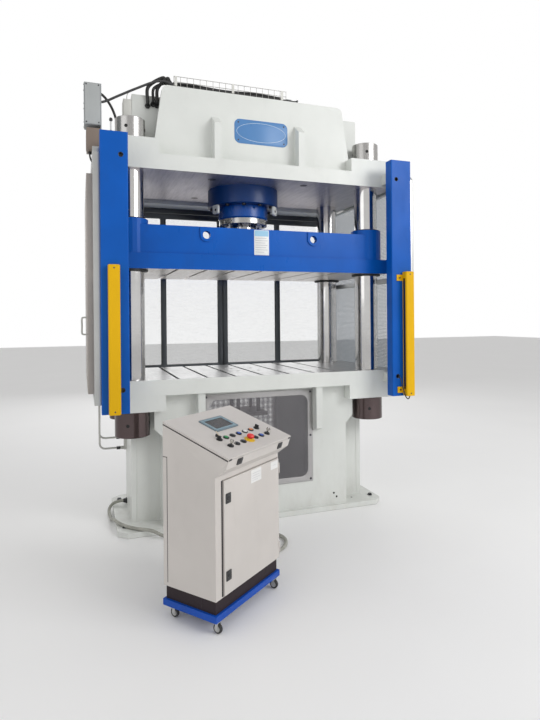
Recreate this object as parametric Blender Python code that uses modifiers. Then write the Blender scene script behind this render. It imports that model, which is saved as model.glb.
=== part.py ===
"""Four-column hydraulic press with its control console.

Metres, +Z up, origin on the floor under the middle of the base, front towards -Y.
"""
import math

import bmesh
import bpy
from mathutils import Matrix, Vector

# Shared clearances and cutting allowances
GAP = 0.0003            # between pieces that seat on each other
RUNNING = 0.0006        # between pieces that slide in each other
OVERRUN = 0.01          # how far a cutter runs past the wall it cuts
BITE = 0.004            # how deep a welded piece sinks into its carrier
MERGE = 0.00005         # merge distance of turned and outlined shapes

SIDES_LARGE = 24        # facets round columns and cylinders
SIDES_MEDIUM = 16
SIDES_SMALL = 12
CORNER_STEPS = 4        # facets in a rounded outline corner

# Press frame: plates
HALF_LENGTH = 1.19      # half the length of table and crown
HALF_DEPTH = 0.52       # half their depth
TABLE_BOTTOM = 1.038
TABLE_THICK = 0.116
LUG_THICK = 0.115
LUG_LENGTH = 0.435      # the lugs under the table's ends, along the table
LUG_DEPTH = 0.245
LUG_SET_BACK = 0.003    # lug faces behind the table's edges
CROWN_BOTTOM = 2.697
CROWN_THICK = 0.116
PAD_LENGTH = 0.403
PAD_DEPTH = 0.245
PAD_THICK = 0.11

TABLE_TOP = TABLE_BOTTOM + TABLE_THICK
LUG_INNER = HALF_LENGTH - LUG_LENGTH
PAD_INNER = HALF_LENGTH - PAD_LENGTH
LUG_BOTTOM = TABLE_BOTTOM - LUG_THICK
CROWN_TOP_OF_PLATE = CROWN_BOTTOM + CROWN_THICK
PAD_TOP = CROWN_TOP_OF_PLATE + PAD_THICK

# Columns and nuts
COLUMN_END_INSET = 0.205    # column axes from the plates' ends
COLUMN_EDGE_INSET = 0.128   # and from their front and rear edges
COLUMN_RADIUS = 0.096
TENON_RADIUS = 0.085    # the reduced end that passes through a plate
UPPER_NUT_RADIUS = 0.109
UPPER_NUT_HEIGHT = 0.152
LOWER_NUT_RADIUS = 0.127
LOWER_NUT_HEIGHT = 0.184
NUT_CHAMFER = 0.004
TENON_PROUD = 0.006     # tenon end beyond the nut's face
SPANNER_HOLE_RADIUS = 0.0085
SPANNER_HOLE_DEPTH = 0.02
SPANNER_HOLES = 4

COLUMN_X = HALF_LENGTH - COLUMN_END_INSET
COLUMN_Y = HALF_DEPTH - COLUMN_EDGE_INSET

# Crown housing
CROWN_TOP = 3.364
FACE_SET_BACK = 0.10    # crown's front plate behind the edge of the plate below
FACE_THICK = 0.045
FACE_COLUMN_GAP = 0.155 # ends of the front plate's foot from the column axes
FACE_TAPER = 0.077      # how much less the plate reaches at its top
FACE_CORNER = 0.045
BOX_END_INSET = 0.23
BOX_COLUMN_GAP = 0.122  # long sides of the box from the column axes
BOX_TOP = 3.325
LID_THICK = 0.03        # top plate between the two faces
CROWN_RIB_X = 0.345
CROWN_RIB_THICK = 0.055
CROWN_RIB_TOP = 3.165
CROWN_RIB_SLOPE = 0.075

FACE_Y = HALF_DEPTH - FACE_SET_BACK
FACE_HALF_BOTTOM = COLUMN_X - FACE_COLUMN_GAP
FACE_HALF_TOP = FACE_HALF_BOTTOM - FACE_TAPER
BOX_HALF_LENGTH = HALF_LENGTH - BOX_END_INSET
BOX_HALF_DEPTH = COLUMN_Y - BOX_COLUMN_GAP

# Table and slide slots
SLOT_COUNT = 7
SLOT_PITCH = 0.22
SLOT_THROAT = 0.022
SLOT_THROAT_DEPTH = 0.024
SLOT_HEAD = 0.038
SLOT_HEAD_DEPTH = 0.016
SLOT_STOP = 0.018       # wall left at the front face, the slots being open at the rear

# Base
PLATE_THICK = 0.04
PLATE_END_MARGIN = 0.115
PLATE_SIDE_MARGIN = 0.04
PLATE_CORNER = 0.07
BASE_SET_BACK = 0.10
BASE_WALL = 0.035
BASE_COLUMN_GAP = 0.155 # ends of the base's box from the column axes
BASE_CHAMFER = 0.064
BASE_CHAMFER_TOP = 0.775
LEG_END_INSET = 0.205   # outer faces of the legs from the table's ends
LEG_COLUMN_GAP = 0.132  # long sides of the legs from the column axes
LEG_WALL = 0.04
WINDOW_HALF = 0.44
WINDOW_BOTTOM = 0.28
WINDOW_HEADROOM = 0.03  # wall left over the window
WINDOW_CORNER = 0.06
BASE_RIB_X = 0.485
BASE_RIB_WIDTH = 0.055
BASE_RIB_DEPTH = 0.085
BASE_RIB_BOTTOM = 0.70
BASE_RIB_CUT = 0.035
ANCHOR_HOLE_RADIUS = 0.011
ANCHOR_END_INSET = 0.06
ANCHOR_SIDE_INSET = 0.13

BASE_HALF_DEPTH = HALF_DEPTH - BASE_SET_BACK
BASE_HALF_UPPER = COLUMN_X - BASE_COLUMN_GAP
BASE_HALF_LOWER = BASE_HALF_UPPER - BASE_CHAMFER
LEG_HALF_LENGTH = HALF_LENGTH - LEG_END_INSET
LEG_HALF_DEPTH = COLUMN_Y - LEG_COLUMN_GAP
PLATE_HALF_LENGTH = LEG_HALF_LENGTH + PLATE_END_MARGIN
PLATE_HALF_DEPTH = BASE_HALF_DEPTH + PLATE_SIDE_MARGIN
ANCHOR_X = PLATE_HALF_LENGTH - ANCHOR_END_INSET
ANCHOR_Y = PLATE_HALF_DEPTH - ANCHOR_SIDE_INSET

# Grilles over the base windows
GRILLE_THICK = 0.004
GRILLE_LAP = 0.025
GRILLE_FRAME_DEPTH = 0.006
GRILLE_BORDER = 0.045

# Slide
SLIDE_BOTTOM = 1.9675
SLIDE_FLANGE_THICK = 0.116
SLIDE_END_MARGIN = 0.145    # slide's flange beyond the column axes
SLIDE_BODY_TOP = 2.293
SLIDE_BODY_INSET = 0.035    # ends of the slide's body inside the column axes
SLIDE_BODY_SET_BACK = 0.015
SLIDE_PLATE = 0.04      # front and rear plates of the slide's open-topped rooms
POCKET_INNER = 0.17
POCKET_END_WALL = 0.15
POCKET_FLOOR = 0.006    # left on the flange inside the body
SLIDE_BOSS_RADIUS = 0.127
SLIDE_BOSS_TOP = 2.335
WIPER_RADIUS = 0.121
WIPER_HEIGHT = 0.012
LIFT_X = 0.44
LIFT_RISE = 0.148       # lifting hole above the flange
LIFT_RADIUS = 0.03
LIFT_BOSS_RADIUS = 0.05
LIFT_BOSS_PROUD = 0.012
LIFT_DEPTH = 0.12

SLIDE_HALF_LENGTH = COLUMN_X + SLIDE_END_MARGIN
SLIDE_BODY_HALF = COLUMN_X - SLIDE_BODY_INSET
SLIDE_BODY_DEPTH = HALF_DEPTH - SLIDE_BODY_SET_BACK
POCKET_OUTER = SLIDE_BODY_HALF - POCKET_END_WALL
SLIDE_FLANGE_TOP = SLIDE_BOTTOM + SLIDE_FLANGE_THICK
SLIDE_BODY_HEIGHT = SLIDE_BODY_TOP - SLIDE_FLANGE_TOP

# Main cylinder and piston
CYLINDER_RADIUS = 0.2135
CYLINDER_BORE = 0.15
CYLINDER_FLANGE_RADIUS = 0.302
CYLINDER_FLANGE_THICK = 0.15
CYLINDER_NOSE = 0.106   # barrel below the flange
CYLINDER_HEAD_TOP = 3.27
CYLINDER_HEAD_THICK = 0.05
CYLINDER_CHAMFER = 0.012
GLAND_RADIUS = 0.207
GLAND_THICK = 0.046
GLAND_SPIGOT = 0.06
ROD_RADIUS = 0.1135
PISTON_THICK = 0.06
PISTON_TOP = 3.145

CYLINDER_NOSE_BOTTOM = CROWN_BOTTOM - CYLINDER_FLANGE_THICK - CYLINDER_NOSE

# Ejector under the table
EJECTOR_RADIUS = 0.10
EJECTOR_BORE = 0.06
EJECTOR_TOP = 0.62
EJECTOR_FOOT_RADIUS = 0.15
EJECTOR_FOOT_THICK = 0.03
EJECTOR_ROD_RADIUS = 0.045
EJECTOR_ROD_BOTTOM = 0.25
EJECTOR_PLATE_BOTTOM = 0.775
EJECTOR_PLATE_THICK = 0.03
EJECTOR_PLATE_HALF_X = 0.15
EJECTOR_PLATE_HALF_Y = 0.17
PIN_X = 0.09
PIN_Y = 0.11
PIN_RADIUS = 0.016
PIN_SUNK = 0.004        # pin tops below the table's face

# Guard posts and light curtains
POST_REACH = 0.023      # outer faces of the posts beyond the plates' ends
POST_WIDTH = 0.184
POST_DEPTH = 0.087
POST_STAND_OFF = 0.128  # posts in front of the plates' edges
POST_BOTTOM = 0.96
POST_TOP = 2.87
POST_WALL = 0.006
POST_CORNER = 0.008
POST_HOLE_RADIUS = 0.018
POST_HOLE_INSET = 0.048
POST_HOLE_INSET_TOP = 0.155
POST_HOLE_INSET_BOTTOM = 0.16
POST_BRACKET_HALF = 0.05
POST_BRACKET_HEIGHT = 0.08
POST_BRACKET_INSET = 0.018
CURTAIN_LEFT_INSET = 0.101  # middle of each bar from its post's inner face
CURTAIN_RIGHT_INSET = 0.131
CURTAIN_WIDTH = 0.078
CURTAIN_DEPTH = 0.062
CURTAIN_BOTTOM = 0.965
CURTAIN_TOP = 1.962
CURTAIN_CORNER = 0.012
CURTAIN_LENS_WIDTH = 0.03
CURTAIN_LENS_DEPTH = 0.004
CURTAIN_TAB = 0.05
CURTAIN_TAB_THICK = 0.006
CURTAIN_TAB_INSET = 0.02

POST_OUTER = HALF_LENGTH + POST_REACH
POST_INNER = POST_OUTER - POST_WIDTH
POST_BACK = -HALF_DEPTH - POST_STAND_OFF
POST_FRONT = POST_BACK - POST_DEPTH
POST_HOLE_X = POST_INNER + POST_HOLE_INSET
CURTAIN_LEFT = POST_INNER + CURTAIN_LEFT_INSET
CURTAIN_RIGHT = POST_INNER + CURTAIN_RIGHT_INSET

# Side guards
GUARD_THICK = 0.045
GUARD_LAP = 0.052       # guards' front edges in front of the posts' backs
GUARD_BOTTOM = 1.02
GUARD_TOP = 2.78
GUARD_PROFILE = 0.045
GUARD_SLANT = 0.05
GUARD_PANE = 0.006
SERVICE_PROUD = 0.04    # raised panel on the left guard's outer face
SERVICE_FRONT_INSET = 0.15
SERVICE_BACK_INSET = 0.065
SERVICE_BOTTOM = 1.08
SERVICE_TOP = 2.62
SERVICE_CORNER = 0.012
GRIP_LEVEL = 1.495
GRIP_LENGTH = 0.12
GRIP_INSET = 0.07
GRIP_WIDTH = 0.016
GRIP_BAR = 0.012
GRIP_REACH = 0.034

# Rear guard
REAR_STAND_OFF = 0.20   # rear guard behind the plates' edges
REAR_DEPTH = 0.045
REAR_PROFILE = 0.045
REAR_BOTTOM = 1.06
REAR_TOP = 2.80
REAR_RAIL_TOP = 2.665
REAR_BRACKET = 0.04
REAR_BRACKET_INSET = 0.018
DOOR_GAP = 0.004
DOOR_MID_OFFSET = 0.001     # doors' middle stiles beyond the middle of each half
DOOR_PANE_THICK = 0.006
DOOR_PANE_CORNER = 0.05
HINGE_RADIUS = 0.008
HINGE_LENGTH = 0.035    # each half of a lift-off hinge
HINGE_LEAF = 0.005
HINGE_REACH = 0.032
HINGE_LOWER = 1.32
HINGE_UPPER = 2.38
HINGE_RUNNING = 0.0015  # hinge barrel to the faces behind it

REAR_Y = HALF_DEPTH + REAR_STAND_OFF
DOOR_MID_X = (POST_OUTER - REAR_PROFILE) / 2 + DOOR_MID_OFFSET
GUARD_FRONT = POST_BACK - GUARD_LAP
GUARD_BACK = REAR_Y + REAR_DEPTH
SERVICE_FRONT = GUARD_FRONT + SERVICE_FRONT_INSET
SERVICE_BACK = GUARD_BACK - SERVICE_BACK_INSET
GRIP_FRONT = SERVICE_FRONT + GRIP_INSET

# Cable tray on the crown
TRAY_END_INSET = 0.093  # tray's left end from the end of the crown's front plate
TRAY_LENGTH = 0.92
TRAY_SET_BACK = 0.02
TRAY_WIDTH = 0.13
TRAY_WALL = 0.004
TRAY_HEIGHT = 0.085

TRAY_LEFT = TRAY_END_INSET - FACE_HALF_TOP
TRAY_RIGHT = TRAY_LEFT + TRAY_LENGTH
TRAY_FRONT = TRAY_SET_BACK - FACE_Y
TRAY_BACK = TRAY_FRONT + TRAY_WIDTH

# Electrical box on the crown's left end
EBOX_THICK = 0.115
EBOX_SET_BACK = 0.01    # box front behind the crown's front edge
EBOX_DEPTH = 0.13
EBOX_BOTTOM = 2.975
EBOX_TOP = 3.27
EBOX_PLATE_THICK = 0.006
EBOX_PLATE_BOTTOM = 2.72
EBOX_LOWER_THICK = 0.10
EBOX_LOWER_BOTTOM = 2.80
EBOX_LOWER_TOP = 2.95

EBOX_FRONT = EBOX_SET_BACK - HALF_DEPTH
EBOX_BACK = EBOX_FRONT + EBOX_DEPTH

# Pipes down the left side, between the end faces and the side guard
PIPE_RADIUS = 0.008
PIPE_OUT = 0.0116       # pipe centre line beyond the crown's end
PIPE_Y = 0.200
PIPE_PITCH = 0.036
PIPE_TOP = 2.745
PIPE_LEG_Z = 0.520
PIPE_LEG_STEP = 0.080   # the second pipe enters the leg this much higher
PIPE_BEND = 0.045
PIPE_BLOCK_MARGIN = 0.009
PIPE_BLOCK_HEIGHT = 0.04
PIPE_BLOCK_COVER = 0.0015
PIPE_FLANGE_THICK = 0.02
TABLE_CLAMP_Z = 1.075

# Console cabinet, in its own frame: x along its front, y into it
CONSOLE_X = -0.712
CONSOLE_Y = -1.849
CONSOLE_TURN = math.radians(38)
CABINET_WIDTH = 0.60
CABINET_DEPTH = 0.355
CABINET_BOTTOM = 0.172
CABINET_BACK_TOP = 1.036
CABINET_LIP_Y = -0.086
CABINET_LIP_TOP = 0.894
CABINET_LIP_FOLD_Y = -0.070
CABINET_LIP_FOLD_Z = 0.848
CABINET_UNDERCUT_Z = 0.797
CABINET_WALL = 0.004
LID_GAP = 0.004
PANEL_THICK = 0.010
LID_OVERHANG = 0.002
LID_CORNER = 0.004
LID_PIVOT_OUT = 0.0085  # lid's axis behind the back wall
LID_PIVOT_RISE = 0.005
LID_BARREL = 0.005
LID_BARREL_LENGTH = 0.03
LID_BARREL_INSET = 0.10
LID_TAB = 0.004
BARREL_FOOT = 0.013     # height of the barrel bracket's foot on the back wall
BARREL_DROP = 0.031

LID_PIVOT_Y = CABINET_DEPTH + LID_PIVOT_OUT
LID_PIVOT_Z = CABINET_BACK_TOP + LID_PIVOT_RISE

# Console door
CDOOR_LEFT = 0.060
CDOOR_MARGIN = 0.010     # door's right edge from the cabinet's side
CDOOR_BOTTOM = 0.180
CDOOR_TOP = 0.768
CDOOR_PROUD = 0.010
CDOOR_THICK = 0.021
CDOOR_GAP = 0.003
CDOOR_CORNER = 0.006
CDOOR_PIVOT_INSET = 0.0043
CDOOR_PIVOT_LAP = 0.0002    # hinge axis behind the door's front face
CDOOR_BARREL = 0.004
CDOOR_BARREL_LENGTH = 0.03
CDOOR_BARREL_INSET = 0.06
CDOOR_TAB = 0.0025
LATCH_X = 0.095
LATCH_INSET = 0.095
LATCH_RADIUS = 0.0115
LATCH_STEM = 0.007
LATCH_PROUD = 0.005
LATCH_SLOT = 0.004
LATCH_CAM_THICK = 0.003
LATCH_CAM_GAP = 0.001   # between a cam and the wall it turns behind
DOOR_CAM = 0.045
LID_CAM = 0.013
LIP_LATCH_INSET = 0.105
LIP_LATCH_SHARE = 0.5

CDOOR_RIGHT = CABINET_WIDTH - CDOOR_MARGIN
CDOOR_PIVOT_X = CABINET_WIDTH - CDOOR_PIVOT_INSET
CDOOR_PIVOT_Y = CDOOR_PIVOT_LAP - CDOOR_PROUD

# Plinth, trolley and casters
PLINTH_INSET = 0.010
PLINTH_BOTTOM = 0.10
PLINTH_WALL = 0.025
TROLLEY_OUT = 0.004
TROLLEY_BOTTOM = 0.065
TROLLEY_RAIL = 0.045
WHEEL_RADIUS = 0.025
WHEEL_HALF = 0.009
WHEEL_GROOVE = 0.002
AXLE_RADIUS = 0.003
FORK_PLATE = 0.0035
FORK_PLATE_HALF = 0.019
FORK_CHEEK = 0.0025
FORK_CHEEK_HALF = 0.009
FORK_RUNNING = 0.0015
SWIVEL_INSET = 0.032
CASTER_TRAIL = 0.018
SWIVEL_RADIUS = 0.013
SWIVEL_HEIGHT = 0.007

# Panel controls, on the lid
CONTROL_COUNT = 7
CONTROL_PITCH = 0.058
ROW_ONE = 0.165         # distance of the rows from the lid's front edge, along its slope
ROW_TWO = 0.088
BUTTON_HOLE = 0.0112
BUTTON_STEM = 0.0108
BUTTON_HEAD = 0.0118
BEZEL_RADIUS = 0.0148
BEZEL_BORE = 0.0124
BEZEL_HEIGHT = 0.0045
BUTTON_LIFT = 0.0042
BUTTON_TOP = 0.0075
BUTTON_BELOW = 0.028
KNOB_HEIGHT = 0.009
LEVER_LENGTH = 0.03
LEVER_HALF = 0.0035
LEVER_HEIGHT = 0.022
STOP_HEAD = 0.020
STOP_LIFT = 0.016
STOP_TOP = 0.030
KEY_HALF = 0.0012
KEY_HEIGHT = 0.034
KEY_WIDTH = 0.011
KEY_BOW = 0.0105
KEY_BOW_BORE = 0.0055

# Operator screen
SCREEN_LEFT = 0.190
SCREEN_WIDTH = 0.200
SCREEN_FRONT = 0.235    # from the lid's front edge, along its slope
SCREEN_HEIGHT = 0.140
SCREEN_PROUD = 0.006
SCREEN_BODY_INSET = 0.012
SCREEN_BODY_DEPTH = 0.035
SCREEN_CORNER = 0.006
SCREEN_RECESS = 0.002
SCREEN_RIM = 0.022

# Conduit from the press to the console
CONDUIT_RADIUS = 0.0125
CONDUIT_SIDES = 2
CONDUIT_STEPS = 12
CONDUIT_PITCH = 0.045   # between the points of the drawn tube
CONDUIT_START_Y = 0.20
CONDUIT_START_Z = 0.070
GLAND_RISE = 0.103      # conduit entry above the cabinet's floor
CONDUIT_STUB = 0.03     # straight length out of the cabinet
CONDUIT_ROUTE = [
    (-1.048, 0.200, 0.070), (-1.088, 0.192, 0.063), (-1.114, 0.170, 0.053),
    (-1.132, 0.140, 0.032), (-1.135, 0.090, 0.0138), (-1.130, 0.020, 0.0134), (-1.127, -0.050, 0.018),
    (-1.124, -0.115, 0.038), (-1.114, -0.165, 0.053), (-1.103, -0.210, 0.0558),
    (-1.078, -0.270, 0.0545), (-1.031, -0.348, 0.0535), (-0.963, -0.423, 0.0535), (-0.900, -0.468, 0.0545),
    (-0.850, -0.500, 0.047), (-0.800, -0.535, 0.026), (-0.740, -0.575, 0.0136), (-0.600, -0.650, 0.0134),
    (-0.450, -0.700, 0.0134), (-0.280, -0.735, 0.0134), (-0.120, -0.745, 0.0134), (-0.030, -0.765, 0.0134),
    (0.020, -0.820, 0.0134), (0.025, -0.910, 0.0134), (-0.020, -1.000, 0.0134), (-0.100, -1.060, 0.0134),
    (-0.240, -1.100, 0.0134), (-0.420, -1.125, 0.0134), (-0.540, -1.150, 0.0134), (-0.620, -1.190, 0.0136),
    (-0.685, -1.240, 0.024), (-0.726, -1.285, 0.060), (-0.745, -1.308, 0.115), (-0.748, -1.316, 0.180),
    (-0.742, -1.325, 0.235), (-0.7284, -1.341, 0.266),
]

PAINT_WHITE = (0.80, 0.81, 0.79)
PAINT_PALE = (0.68, 0.69, 0.67)
PAINT_BLUE = (0.012, 0.09, 0.44)
PAINT_NAVY = (0.008, 0.02, 0.09)
PAINT_YELLOW = (0.85, 0.55, 0.01)
PAINT_CABINET = (0.52, 0.50, 0.46)
PAINT_TROLLEY = (0.01, 0.07, 0.50)
STEEL = (0.62, 0.61, 0.59)
STEEL_DARK = (0.30, 0.29, 0.28)
DARK_PROFILE = (0.03, 0.035, 0.04)
GREY_PLASTIC = (0.30, 0.32, 0.33)
BLACK = (0.015, 0.015, 0.017)


def clear_scene():
    for item in list(bpy.data.objects):
        bpy.data.objects.remove(item, do_unlink=True)


def collection(name):
    made = bpy.data.collections.new(name)
    bpy.context.scene.collection.children.link(made)
    return made


clear_scene()
PARTS = collection("hydraulic_press")
TOOLS = collection("cutters")


def finish(name, colour, metallic=0.0, roughness=0.5):
    """One Principled material, made once for each name."""
    found = bpy.data.materials.get(name)
    if found:
        return found
    made = bpy.data.materials.new(name)
    made.use_nodes = True
    shader = made.node_tree.nodes["Principled BSDF"]
    shader.inputs["Base Color"].default_value = (*colour, 1.0)
    shader.inputs["Metallic"].default_value = metallic
    shader.inputs["Roughness"].default_value = roughness
    return made


def part(name, mesh, material, parent=None):
    made = bpy.data.objects.new(name, mesh)
    PARTS.objects.link(made)
    made.data.materials.append(material)
    made.parent = parent
    return made


def tool(name, mesh, parent=None):
    """A shape that only cuts or joins."""
    made = bpy.data.objects.new(name, mesh)
    TOOLS.objects.link(made)
    made.hide_render = True
    made.display_type = "WIRE"
    made.parent = parent
    return made


def axis_empty(name, place, turn=None, parent=None):
    made = bpy.data.objects.new(name, None)
    PARTS.objects.link(made)
    made.parent = parent
    made.location = place
    if turn is not None:
        made.rotation_euler = turn
    return made


def apply(target, other, operation):
    modifier = target.modifiers.new(operation.lower() + "_" + other.name, "BOOLEAN")
    modifier.operation = operation
    modifier.solver = "EXACT"
    modifier.object = other


def join(target, *others):
    for other in others:
        apply(target, other, "UNION")


def cut(target, *others):
    for other in others:
        apply(target, other, "DIFFERENCE")


def block(low, high):
    """A box between two corners."""
    low, high = Vector(low), Vector(high)
    shape = bmesh.new()
    size = high - low
    place = Matrix.Translation((low + high) / 2) @ Matrix.Diagonal((*size, 1.0))
    bmesh.ops.create_cube(shape, size=1.0, matrix=place)
    return to_mesh(shape)


AXIS_TURNS = {
    "X": Matrix(((0, 0, 1), (1, 0, 0), (0, 1, 0))).to_4x4(),
    "Y": Matrix(((1, 0, 0), (0, 0, -1), (0, 1, 0))).to_4x4(),
    "Z": Matrix.Identity(4),
}


def along(axis, across, start, end):
    """Placement of a shape drawn about Z so that it runs from start to end on an axis."""
    middle = (start + end) / 2
    first, second = across
    centre = {"X": (middle, first, second), "Y": (first, middle, second), "Z": (first, second, middle)}[axis]
    return Matrix.Translation(centre) @ AXIS_TURNS[axis]


def rod(radius, axis, across, start, end, sides=SIDES_SMALL):
    """A cylinder along an axis."""
    shape = bmesh.new()
    bmesh.ops.create_cone(
        shape, cap_ends=True, segments=sides, radius1=radius, radius2=radius,
        depth=abs(end - start), matrix=along(axis, across, start, end))
    mesh = to_mesh(shape)
    smooth(mesh)
    return mesh


def to_mesh(shape):
    bmesh.ops.recalc_face_normals(shape, faces=shape.faces)
    mesh = bpy.data.meshes.new("shape")
    shape.to_mesh(mesh)
    shape.free()
    return mesh


def smooth(mesh):
    mesh.shade_smooth()
    mesh.set_sharp_from_angle(angle=math.radians(35))


def prism(loops, axis, start, end):
    """A flat outline, with any holes, extruded between two places on an axis."""
    curve = bpy.data.curves.new("outline", "CURVE")
    curve.dimensions = "2D"
    curve.fill_mode = "BOTH"
    curve.extrude = abs(end - start) / 2
    for loop in loops:
        spline = curve.splines.new("POLY")
        spline.points.add(len(loop) - 1)
        for point, (u, v) in zip(spline.points, loop):
            point.co = (u, v, 0.0, 1.0)
        spline.use_cyclic_u = True
    guide = bpy.data.objects.new("outline", curve)
    bpy.context.scene.collection.objects.link(guide)
    bpy.context.view_layer.update()
    drawn = guide.evaluated_get(bpy.context.evaluated_depsgraph_get())
    mesh = bpy.data.meshes.new_from_object(drawn)
    bpy.data.objects.remove(guide, do_unlink=True)
    shape = bmesh.new()
    shape.from_mesh(mesh)
    bmesh.ops.remove_doubles(shape, verts=shape.verts, dist=MERGE)
    bmesh.ops.transform(shape, matrix=along(axis, (0.0, 0.0), start, end), verts=shape.verts)
    return to_mesh(shape)


def rounded(left, right, bottom, top, radius):
    """A rectangle's outline with four round corners."""
    corners = ((right - radius, top - radius, 0), (left + radius, top - radius, 1),
               (left + radius, bottom + radius, 2), (right - radius, bottom + radius, 3))
    points = []
    for u, v, quarter in corners:
        for step in range(CORNER_STEPS + 1):
            angle = (quarter + step / CORNER_STEPS) * math.pi / 2
            points.append((u + radius * math.cos(angle), v + radius * math.sin(angle)))
    return points


def rounded_slab(low, high, radius, axis):
    """A box whose edges along one axis are rounded."""
    picks = {"X": (1, 2, 0), "Y": (0, 2, 1), "Z": (0, 1, 2)}[axis]
    u, v, w = picks
    outline = rounded(low[u], high[u], low[v], high[v], radius)
    return prism([outline], axis, low[w], high[w])


def turn_profile(target, steps):
    """Turns an outline in the XZ plane about Z."""
    modifier = target.modifiers.new("turn", "SCREW")
    modifier.axis = "Z"
    modifier.angle = 2 * math.pi
    modifier.steps = steps
    modifier.render_steps = steps
    modifier.use_merge_vertices = True
    modifier.merge_threshold = MERGE
    modifier.use_smooth_shade = True


def profile_mesh(points, closed):
    """Edges through (radius, height) points, running down the outer side."""
    count = len(points)
    edges = [(i, i + 1) for i in range(count - 1)]
    if closed:
        edges.append((count - 1, 0))
    mesh = bpy.data.meshes.new("profile")
    mesh.from_pydata([(radius, 0.0, height) for radius, height in points], edges, [])
    return mesh


def turned(name, points, steps, material=None, place=(0.0, 0.0, 0.0), parent=None, closed=False):
    """A turned piece, or a turned cutter when it has no material."""
    mesh = profile_mesh(points, closed)
    made = part(name, mesh, material, parent) if material else tool(name, mesh, parent)
    made.location = place
    turn_profile(made, steps)
    return made


def corners(x, y):
    """The four places that mirror about the middle of the press."""
    return [("front_left", -x, -y), ("front_right", x, -y), ("rear_left", -x, y), ("rear_right", x, y)]


def cut_slots(target, face, inward):
    """Parallel T slots from behind the front face to the open rear: throat, then wider head."""
    start, end = -HALF_DEPTH + SLOT_STOP, HALF_DEPTH + OVERRUN
    mouth = face - inward * OVERRUN
    shoulder = face + inward * SLOT_THROAT_DEPTH
    floor = shoulder + inward * SLOT_HEAD_DEPTH
    for index in range(SLOT_COUNT):
        x = (index - (SLOT_COUNT - 1) / 2) * SLOT_PITCH
        for name, width, near in (("throat", SLOT_THROAT, mouth), ("head", SLOT_HEAD, shoulder)):
            shape = block((x - width / 2, start, min(near, floor)), (x + width / 2, end, max(near, floor)))
            cut(target, tool(f"{target.name}_slot_{name}_{index}", shape))


def make_base():
    """Floor plate, window walls, narrower ends and ribs, welded into one frame."""
    paint = finish("base_paint", PAINT_PALE, 0.0, 0.45)
    top = TABLE_BOTTOM - GAP
    long_side, short_side, cut_corner = PLATE_HALF_LENGTH, PLATE_HALF_DEPTH, PLATE_CORNER
    outline = [
        (long_side, -short_side + cut_corner), (long_side, short_side - cut_corner),
        (long_side - cut_corner, short_side), (-long_side + cut_corner, short_side),
        (-long_side, short_side - cut_corner), (-long_side, -short_side + cut_corner),
        (-long_side + cut_corner, -short_side), (long_side - cut_corner, -short_side)]
    frame = part("base_frame", prism([outline], "Z", 0.0, PLATE_THICK), paint)
    chamfer = BASE_HALF_UPPER - BASE_HALF_LOWER
    foot = PLATE_THICK - BITE
    wall = [
        (BASE_HALF_LOWER, foot), (BASE_HALF_LOWER, BASE_CHAMFER_TOP - chamfer),
        (BASE_HALF_UPPER, BASE_CHAMFER_TOP), (BASE_HALF_UPPER, top),
        (-BASE_HALF_UPPER, top), (-BASE_HALF_UPPER, BASE_CHAMFER_TOP),
        (-BASE_HALF_LOWER, BASE_CHAMFER_TOP - chamfer), (-BASE_HALF_LOWER, foot)]
    window = rounded(-WINDOW_HALF, WINDOW_HALF, WINDOW_BOTTOM, top - WINDOW_HEADROOM, WINDOW_CORNER)
    for side, name in ((-1, "front"), (1, "rear")):
        outer, inner = side * BASE_HALF_DEPTH, side * (BASE_HALF_DEPTH - BASE_WALL)
        low, high = min(outer, inner), max(outer, inner)
        join(frame, tool(f"base_wall_{name}", prism([wall, window], "Y", low, high)))
    inner = BASE_HALF_DEPTH - BASE_WALL + BITE
    for side, name in ((-1, "left"), (1, "right")):
        join(frame, end_box(name, side, foot, top, inner))
    for side, row in ((-1, "front"), (1, "rear")):
        for x, place in ((-BASE_RIB_X, "left"), (BASE_RIB_X, "right")):
            join(frame, base_rib(f"base_rib_{row}_{place}", x, side, top))
    for name, x, y in corners(ANCHOR_X, ANCHOR_Y):
        hole = rod(ANCHOR_HOLE_RADIUS, "Z", (x, y), -OVERRUN, PLATE_THICK + OVERRUN)
        cut(frame, tool(f"anchor_hole_{name}", hole))
    for name, x, y in corners(1, 1):
        near_x, far_x = x * (LUG_INNER - GAP), x * HALF_LENGTH
        near_y, far_y = y * (HALF_DEPTH - LUG_DEPTH - GAP), y * HALF_DEPTH
        notch = block((min(near_x, far_x), min(near_y, far_y), LUG_BOTTOM - GAP),
                      (max(near_x, far_x), max(near_y, far_y), top + OVERRUN))
        cut(frame, tool(f"lug_notch_{name}", notch))
    return frame


def end_box(name, side, foot, top, inner):
    """The narrower leg at one end: two side walls and an end wall, open to the middle."""
    start = BASE_HALF_LOWER - LEG_WALL
    low = min(side * start, side * LEG_HALF_LENGTH)
    high = max(side * start, side * LEG_HALF_LENGTH)
    leg = tool(f"base_leg_{name}", block((low, -LEG_HALF_DEPTH, foot), (high, LEG_HALF_DEPTH, top)))
    bulkhead_low = min(side * start, side * BASE_HALF_LOWER)
    bulkhead_high = max(side * start, side * BASE_HALF_LOWER)
    bulkhead = tool(f"base_bulkhead_{name}", block((bulkhead_low, -inner, foot), (bulkhead_high, inner, top)))
    room = LEG_HALF_DEPTH - LEG_WALL
    far = side * (LEG_HALF_LENGTH - LEG_WALL)
    near = side * (start - OVERRUN)
    hollow = tool(f"base_hollow_{name}", block(
        (min(near, far), -room, PLATE_THICK), (max(near, far), room, top + OVERRUN)))
    join(leg, bulkhead)
    cut(leg, hollow)
    return leg


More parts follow.
